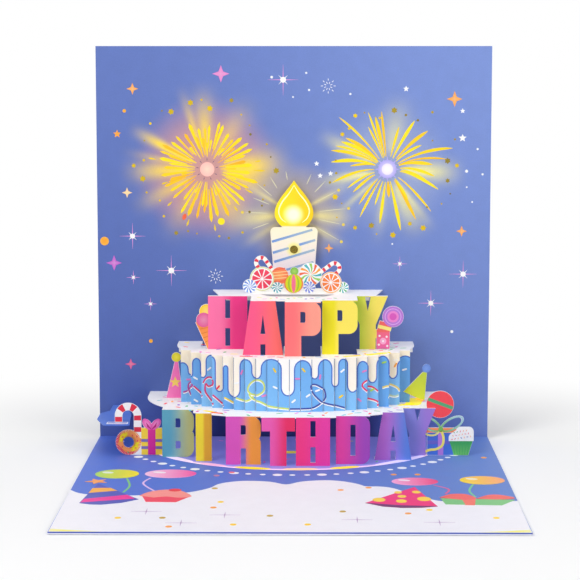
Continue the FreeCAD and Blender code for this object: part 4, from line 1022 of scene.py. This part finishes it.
HAT_RIM = [(29.4, 132.8), (36.0, 138.6), (43.3, 140.9), (51.0, 140.6), (57.6, 138.4)]
CAKE_ICING = [(-61.0, 121.4), (-58.0, 115.0), (-51.7, 110.6), (-45.1, 112.2), (-40.0, 122.0),
              (-45.0, 124.6), (-50.0, 122.6), (-55.0, 124.6)]
LEFT_HAT = [(-80.0, 99.5), (-83.7, 134.0), (-79.0, 136.2), (-74.8, 136.6), (-67.0, 133.4),
            (-60.8, 127.5)]
HAT_DOTS = ((35.0, 127.6, 2.6), (43.8, 129.8, 2.2), (44.4, 121.6, 1.8), (53.0, 126.0, 2.8),
            (50.6, 114.0, 1.8), (43.2, 114.6, 1.6))
BOWS = ([(59.4, 123.4), (64.0, 117.6), (70.2, 117.4), (74.0, 125.1), (68.0, 127.0)],
        [(74.0, 125.1), (79.0, 119.0), (84.0, 118.6), (89.4, 124.0), (82.0, 126.6)])


def print_floor_party():
    """Balloons, two party hats, a small cake and a gift on the floor."""
    party = Print("floor_party", "liner", matt_ink, level())
    for x, y, half, tall, light, dark, string, tone in BALLOONS:
        party.shade(oval(x, y, half, tall, count=28), light, dark, axis=0, layer=3)
        gloss = oval(x - half * 0.45, y - tall * 0.3, half * 0.28, tall * 0.2, 20, 12)
        party.stamp(gloss, blend(light, WHITE, 0.7), 4)
        party.stamp(ribbon(smooth(string), 0.9), tone, 2)
    party.stamps(
        (LEFT_HAT, "4e54b2", 5),
        ([(-81.3, 108.0), (-82.0, 116.6), (-70.8, 112.6), (-74.0, 107.4)], "fab03c", 6),
        ([(-82.6, 127.2), (-83.4, 133.2), (-62.4, 126.4), (-66.0, 119.8)], "f03296", 6),
        (star(-81.0, 95.4, 5, 5.0, 2.2, 100), "faa050", 6),
        ([(-60.0, 121.0), (-57.6, 131.6), (-45.6, 132.1), (-40.6, 122.4)], "f0485c", 5),
        (smooth(CAKE_ICING, 3), "fa968c", 6),
        (disc(-47.4, 111.4, 2.6, 16), "e8323c", 7),
        ([(50.4, 104.6)] + HAT_RIM, "f03278", 5),
        (HAT_RIM + [(43.0, 136.6)], "6e2c64", 6))
    for x, y, radius in HAT_DOTS:
        party.stamp(oval(x, y, radius, radius * 1.3, count=16), "fcd646", 7)
    party.stamp([(59.6, 124.8), (61.0, 134.8), (83.0, 136.2), (89.2, 127.0)], "7ec47c", 5)
    party.stamp([(68.0, 125.6), (68.7, 135.8), (72.4, 136.2), (73.6, 125.6)], "f47864", 6)
    for bow in BOWS:
        party.stamp(smooth(bow + [bow[0]], 4)[:-1], "f26860", 7)
    party.done()


print_plate()
print_arc()
print_cloud()
print_floor_party()


# Candle, flame and sweets

def card_print(node, slot, name=None, x=0.0, y=0.0, finish=gloss_ink):
    """A print on the face of a die-cut node, with its own origin on that face."""
    depth = (FACE_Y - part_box(node)[0].y) / MM
    return Print(name or node + "_print", slot, finish, upright(depth), x, y)


CANDLE_TOP = 97.9
HOLE = (0.2, 87.6)
STRIPES = (
    ((-9.9, 91.2), (8.6, 96.7)), ((-9.5, 86.1), (-2.2, 88.3)), ((2.6, 89.8), (9.9, 92.0)),
    ((-8.9, 81.9), (9.6, 87.5)), ((-8.2, 76.8), (9.1, 81.9)),
)
FLAME_SIDE = ((0.0, 117.0), (-2.4, 113.2), (-5.4, 109.4), (-7.0, 105.4), (-6.0, 102.0),
              (-3.6, 100.0))


def dress_candle():
    stripes = card_print("candle", "candle_paper", "candle_stripes", finish=matt_ink)
    # The flame's outline glows: painted light
    glow_ink = ink("flame_line_ink", glow=0.4)
    flame_line = card_print("candle", "candle_paper", "flame_line", finish=glow_ink)
    finish = Finish("candle_print")
    spots = []
    # Painted light: a warm pool round the microphone's hole, and a pale hot core in the flame
    for (x, y), low, high in ((HOLE, 0.002, 0.0042), (FLAME_GLOW, 0.0014, 0.0056)):
        distance = finish.vector("DISTANCE", finish.place, stripes.sheet(x, y, 0))["Value"]
        spots.append(finish.between(distance, low, high, 1, 0))
    lamp_spot, glow = spots
    wax = finish.mix(finish.rise(76, 99), "f8eaf0", "fef4d4")
    wax = finish.mix(lamp_spot, wax, "fcf096")
    flame = finish.mix(finish.across(-8, 9), "ffe20a", "f4cc00")
    flame = finish.mix(glow, flame, "fff9be")
    # Painted light: the flame above the candle's top glows, most at its core
    fire = finish.rise(CANDLE_TOP, CANDLE_TOP + 0.8)
    strength = finish.calc("MULTIPLY", fire, finish.calc("MULTIPLY_ADD", glow, 0.4, 0.08))
    lit = finish.mix(strength, "000000", flame)
    clothe("candle", finish.paper(finish.mix(fire, wax, flame), glow=lit, glow_strength=1.0))
    for line in STRIPES:
        stripes.shade(ribbon(line, [1.15, 1.0]), "6c98dc", "a6bece", axis=0)
    stripes.done()
    for sign in (-1, 1):
        line = [(0.2 + sign * a, b) for a, b in smooth(FLAME_SIDE)]
        flame_line.stamp(ribbon(line, tapers(len(line), 0.55, 0.3)), "fff4b0")
    flame_line.done()


def slice_of_fruit(piece, x, y, radius, rind, flesh, count):
    piece.stamps((disc(x, y, radius - 0.1, 28), rind, 1),
                 (disc(x, y, radius * 0.89, 28), WHITE, 2))
    for i in range(count):
        middle, half = 360 / count * i + 14, 180 / count - 4
        round_side = [polar(x, y, radius * 0.8, middle - half + half * step / 2)
                      for step in range(5)]
        piece.stamp([polar(x, y, 0.5, middle)] + round_side, flesh, 3, blend(flesh, RED, 0.25))


def swirl(piece, x, y, radius, count, colours):
    """A round sweet with bent rays between white ones."""
    piece.stamp(disc(x, y, radius - 0.1, 24), WHITE, 1)
    for i in range(count):
        start, width = 360 / count * i, 180 / count
        rays = ((0.06, 0), (0.5, 9), (0.95, 22), (0.95, 22 + width), (0.5, 9 + width))
        corners = [polar(x, y, radius * reach, start + shift) for reach, shift in rays]
        piece.stamp(corners, colours[i % len(colours)], 2)


def banded_cane(piece, line, width, red, white):
    """A white cane with red bands across it, as long as red, white apart."""
    piece.stamp(ribbon(line, width), "faf7f2")
    pitch = 0.2
    fine = resampled(line, pitch)
    band, period = round(red / pitch), round((red + white) / pitch)
    for start in range((len(fine) - 1 - band) % period, len(fine) - band, period):
        piece.stamp(ribbon(fine[start:start + band + 1], width * 0.97), "e42442", 1)


def cane_line(x, y, bend, width, end, leg, side=1, lean=0):
    """The middle line of a crooked cane, from its foot up its leg and over the bend."""
    radius = bend - width / 2
    bow = [(side * radius * cos(pi * i / 24), radius * sin(pi * i / 24)) for i in range(25)]
    line = [(side * radius, -leg)] + bow + [(-side * radius, -end)]
    return turned(line, x, y, side * lean)


MINTS = (
    (-7.3, 2.6, 2.6, 9, (TEAL, "3c96aa"), 4), (22.5, 2.6, 2.6, 9, (TEAL, GREEN), 4),
    (7.7, 8.6, 5.3, 12, (ORANGE, "f0643c", "96d25a", "46b4be"), 6),
    (7.2, 2.8, 2.8, 9, ("6e82e1",), 10), (-19.8, 3.2, 3.2, 10, (SKY, "5a82dc"), 14),
)


def print_sweets():
    sweet = card_print("sweets", "sweets_paper", y=UPPER_TOP)
    for x, y, side, lean in ((-14.6, 13.9, 1, 35), (18.6, 11.4, -1, 53)):
        line = cane_line(x, y, 3.25, 1.9, 1.3, 8, side, lean)
        banded_cane(sweet, line, 1.75, 1.3, 1.7)
    sweet.base = 2
    sweet.stamp(disc(-6.2, 8, 3.9, 20), "fca65c", 0, "f2704c")
    for y, reach in ((5.4, 3.1), (6.8, 3.6), (8.2, 3.7), (9.6, 3.4), (11.0, 2.4)):
        line = [(-6.2 - reach, y - 0.4), (-6.2 + reach, y + 0.4)]
        sweet.stamp(ribbon(line, 0.4), "ffd096" if reach > 3.3 else "ec5c46", 1)
    for x, y, radius, count, colours, base in MINTS:
        sweet.base = base
        swirl(sweet, x, y, radius, count, colours)
    sweet.base = 8
    sweet.stamp(disc(0.4, 10, 1.85, 16), "a8d660", 0, "78ba46")
    sweet.base = 10
    slice_of_fruit(sweet, -14.2, 6.5, 5.6, "dee2aa", "ee3a5c", 9)
    slice_of_fruit(sweet, 17.0, 4.9, 4.9, "faba78", "fa8a36", 10)
    sweet.base = 12
    for layer, (half, tone) in enumerate(((4.3, "f2783c"), (3.7, "dade14"), (2.6, "a4c828"),
                                          (1.8, "e2e21e"), (0.95, "fa7496"))):
        sweet.stamp(oval(0.1, 4.4, half, 4.05 + half * 0.05, count=24), tone, layer)
    sweet.done()


def print_hats():
    pink = card_print("pink_hat", "pink_paper", y=LOWER_TOP)
    pink.shade([(-57.7, 0.1), (-50.1, 0.1), (-52.3, 16.9), (-53.7, 16.9)], "ff84c6", "fa68b8", 0)
    pink.stamps((disc(-53.0, 18.8, 2.15, 20), "f6ea3c", 1, "e2d61e"),
                (star(-53.6, 7.3, 5, 2.7, 1.15), "ffd864", 1))
    pink.done()
    green = card_print("green_hat", "green_paper", y=LOWER_TOP)
    green.shade([(57.4, 1.25), (58.95, 1.25), (59.95, 13.75), (58.05, 13.75), (49.5, 4.9)],
                "d0da28", "bece3c")
    green.stamp(disc(59.7, 15.5, 1.93, 20), "7a9ee4", 1, "648ad8")
    green.done()


def print_ball():
    """The ball's print leaves out the corner that the letter in front of it hides."""
    radius, corner = 6.0, (-1.95, -1.65)
    start, end = -123, 180 - degrees(asin(corner[1] / radius))
    ball = card_print("ball", "ball_paper", x=65.0, y=LOWER_TOP + 1.7)
    round_part = oval(0, 0, radius, radius, count=36, start=start, turn=end - start)
    ball.stamp(round_part + [corner], "fa4650")
    ball.stamp(ribbon([(-5.3, 2.4), (5.6, -1.7)], 1.5), "54aa74", 1)
    ball.done()


def print_ice_cream():
    ice = card_print("ice_cream", "ice_paper", x=UPPER_LETTERS[0][0] + 0.2, y=MIDDLE_TOP)
    ice.shade([(-0.5, 0.1), (0.5, 0.1), (5.8, 12.1), (-5.8, 12.1)], "faa046", "f48c3c")
    for y in (3, 5, 7, 9, 11):
        half = 0.6 + y / 12.1 * 5.2
        ice.stamp(ribbon([(-half * 0.9, y), (half * 0.5, y + 1.4)], 0.3), "e2782c", 1)
    for layer, x, y, tone in (
            (2, -0.8, 17.0, "fad014"), (3, 2.2, 13.2, "f06eaa"), (4, -2.2, 13.2, "e25496")):
        ice.stamp(disc(x, y, 3.3, 20), blend(tone, WHITE, 0.2), layer, tone)
    ice.done()


def print_lollipop():
    left, width = UPPER_LETTERS[-1][:2]
    sweet = card_print("lollipop", "lolly_paper", x=left + width - 2, y=MIDDLE_TOP)
    sweet.stamp(bar(-6.9, 5.1, -0.2, 8.9), "f6e26e")
    sweet.shade(bar(-2.9, 0.1, 2.9, 8.9), "f468b0", "ee6078", layer=1)
    sweet.stamps(([(-2.9, 7.7), (2.9, 7.7), (4.2, 11.5), (-1.5, 12.8)], "f06260", 2),
                 (ribbon([(-2.4, 10.4), (3.6, 8.9)], 1.6), "f8e882", 3),
                 (disc(0, 3.6, 1.5, 14), "faaad6", 2))
    for x, y in ((-1.9, 2.0), (1.6, 5.6), (-1.6, 6.0), (1.9, 1.4), (0.0, 3.6)):
        sweet.stamp(disc(x, y, 0.5, 10), "fdf0f8", 3)
    for layer, radius, tone in ((4, 4.7, "ba78d6"), (5, 3.7, "deb0ec"), (6, 3.4, "ba78d6"),
                                (7, 2.6, "e882ce"), (8, 1.6, "d854ba")):
        sweet.stamp(disc(4.4, 14.7, radius, 24), tone, layer)
    sweet.done()


def print_left_gifts():
    gifts = card_print("left_standee", "left_paper", "left_gifts_print")
    banded_cane(gifts, cane_line(-72.9, 17.5, 5.9, 3.4, 2.8, 17.4), 3.2, 2.3, 3.0)
    dough, icing = disc(-72.8, 5.7, 4.05, 48), disc(-72.5, 5.9, 3.75, 48)
    for i in range(48):
        red = min(max(0.5 + 1.4 * cos(radians(7.5 * i - 215)), 0), 1)
        yellow = min(max(2 * cos(radians(15 * i - 272)), 0), 1)
        gifts.stamp(ribbon((dough[i], dough[(i + 1) % 48]), 3.2), blend("ffa854", "e6223c", red), 2)
        gifts.stamp(ribbon((icing[i], icing[(i + 1) % 48]), 1.9 + 0.35 * sin(i * 0.8)),
                    blend("ff9e54", "fce200", yellow), 3)
    for i in range(14):
        place = polar(-72.8, 5.7, 4.0 + 0.6 * sin(i * 2.1), 26 * i + 8)
        tone = rng.choice((RED, GREEN, ORANGE))
        gifts.stamp(capsule(*place, 1.0, 0.45, 26 * i + 60), tone, 4)
    gifts.base = 5
    right = LOWER_LETTERS[0][0] - 0.3
    left = right - 9.4
    middle = (left + right) / 2
    gifts.stamp(bar(left + 0.1, 0.1, right - 0.1, 12.1), "ffd83c")
    for y in (3.3, 6.5):
        gifts.stamp(bar(left + 0.1, y - 0.65, right - 0.1, y + 0.65), "7e6cb0", 1)
    gifts.shade(bar(middle - 1.7, 0.1, middle + 1.7, 12.1), "d81896", "e62c92", layer=2)
    for sign in (-1, 1):
        loop = oval(middle + sign * 1.9, 13.8, 2.9, 1.65, 90 - sign * 38)
        fold = [(middle + sign * a, b) for a, b in ((0.2, 11.6), (1.6, 12.9), (2.3, 14.6))]
        gifts.stamps((loop, "ff9ed4", 3, "f054ac"), (ribbon(fold, [0.3, 0.9, 0.1]), "c41478", 4))
    gifts.done()


TAILS = (
    (((65.6, 11.0), (66.6, 8.0), (66.2, 4.6), (63.6, 2.8), (60.6, 2.4), (57.8, 1.4)), 1.1, "f6e66e"),
    (((65.0, 10.8), (63.0, 9.2), (60.4, 9.0), (58.0, 10.0)), 0.8, "e2de82"),
)
CUP_ICING = ((68.9, 6.4), (69.2, 9.0), (72.0, 11.2), (74.6, 12.4), (78.0, 12.0), (79.9, 9.0),
             (79.9, 6.4))


def print_right_gifts():
    gifts = card_print("right_standee", "right_paper", "right_gifts_print")
    left, width = LOWER_LETTERS[-1][:2]
    start = left + (width + 7.2) / 2 + 0.3
    gifts.shade(bar(start + 0.5, 0.1, 71.9, 10.1), "4676d6", "4068c8")
    gifts.stamp(bar(start + 0.5, 5.0, 71.9, 6.6), "6864c4", 1)
    gifts.shade(bar(start + 0.1, 10.2, 72.3, 12.3), "fe804c", "fc9660", layer=1)
    gifts.stamp(bar(64.2, 0.1, 66.6, 10.1), "b87ed8", 2)
    for sign in (-1, 1):
        loop = oval(65.4 + sign * 4.98, 14.075, 5.3, 2.35, 90 - sign * 60, 28)
        for i in range(28):
            tone = blend("b0d6e0", "7ebe64", 0.5 - 0.5 * cos(2 * pi * i / 28))
            gifts.stamp(ribbon((loop[i], loop[(i + 1) % 28]), 0.85), tone, 3)
    gifts.stamp(disc(65.4, 11.6, 1.1, 12), "7abc5a", 4)
    for tail, wide, tone in TAILS:
        gifts.stamp(ribbon(smooth(tail), wide), tone, 4)
    gifts.base = 5
    gifts.shade([(71.2, 0.1), (77.6, 0.1), (79.5, 6.4), (69.3, 6.4)], "70c868", "2c9c54")
    for i in range(6):
        x = 70.6 + i * 1.52
        pleat = [(74.4 + (x - 74.4) * 0.7, 0.3), (x, 6.2)]
        gifts.stamp(ribbon(pleat, [0.18, 0.24]), "3ca85c", 1)
    gifts.stamp([(min(max(a, 68.95), 79.9), min(max(b, 6.3), 12.7))
                 for a, b in smooth(CUP_ICING, 4)], "faf8f4", 2)
    for i in range(20):
        x, y = 70.4 + 8.6 * i / 19, 7.2 + 4.2 * (i * 7 % 20) / 19
        if dist((x, y), (74.5, 6.5)) < 5.2:
            tone = blend(rng.choice((RED, NAVY, ORANGE, GREEN, MAGENTA)), WHITE, 0.3)
            gifts.stamp(capsule(x, y, 0.9, 0.4, rng.uniform(0, 180)), tone, 3)
    gifts.done()


def print_strut():
    """A white rim round the strut's slot."""
    top = (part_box("left_strut")[1].z - FLOOR_Z) / MM
    rim = Print("strut_rim", "strut_paper", matt_ink, level(top))
    for sides in ((-82.2, 41.0, -72.8, 41.5), (-82.2, 42.1, -72.8, 42.45),
                  (-82.2, 44.15, -72.8, 45.6), (-82.2, 42.45, -81.7, 44.15),
                  (-73.3, 42.45, -72.8, 44.15)):
        rim.stamp(bar(*sides), "f4f2f8")
    rim.done()


# What else shows: node, colours, roughness, metal share and scale of its pattern

PARTY_CARDS = ("sweets", "pink_hat", "green_hat", "ball", "ice_cream", "lollipop", "left_standee",
               "right_standee")
UNIT = (
    ("circuit_board", "145634", "28764a", 0.4, 0.0, 700),
    ("speaker", "26262a", "4e4e54", 0.5, 0.4, 400),
    ("cell_clip", "a8aab0", "d6d6da", 0.3, 0.9, 260),
    ("button_cell_1", "b0b0b4", "dcdcde", 0.25, 0.95, 500),
    ("button_cell_2", "b0b0b4", "dcdcde", 0.25, 0.95, 540),
    ("button_cell_3", "b0b0b4", "dcdcde", 0.25, 0.95, 580),
    ("slide_switch", "1e1e22", "424248", 0.45, 0.0, 900),
    ("microphone", "685814", "968028", 0.7, 0.2, 1800),
    ("light_left", "ecd696", "faf4e0", 0.3, 0.0, 600),
    ("light_right", "e2deec", "faf8fc", 0.3, 0.0, 600),
    ("light_flame", "f0da8c", "fcf4d6", 0.3, 0.0, 600),
)


def dress_rest():
    for node in PARTY_CARDS:
        clothe(node, Finish(node + "_card").paper("f6f5f3"))
    finish = Finish("strut_card")
    clothe("left_strut", finish.paper(finish.mix(finish.noise(90, 3), "4668c4", "5c80d6")))
    finish = Finish("spacer_foam")
    pores = finish.add("TexVoronoi", Vector=finish.place, Scale=2200).outputs["Distance"]
    clothe("candle_spacer", finish.paper(finish.mix(pores, "e2e2e0", "f6f6f4"), 0.8, 0.1))
    for node, first, second, roughness, metallic, scale in UNIT:
        finish = Finish(node + "_surface")
        cells = finish.add("TexVoronoi", {"feature": "DISTANCE_TO_EDGE"}, Vector=finish.place,
                           Scale=scale).outputs["Distance"]
        colour = finish.mix(finish.between(cells, 0.02, 0.3), second, first)
        clothe(node, finish.paper(colour, roughness, 0.1, metallic=metallic))


dress_candle()
print_sweets()
print_hats()
print_ball()
print_ice_cream()
print_lollipop()
print_left_gifts()
print_right_gifts()
print_strut()
dress_rest()
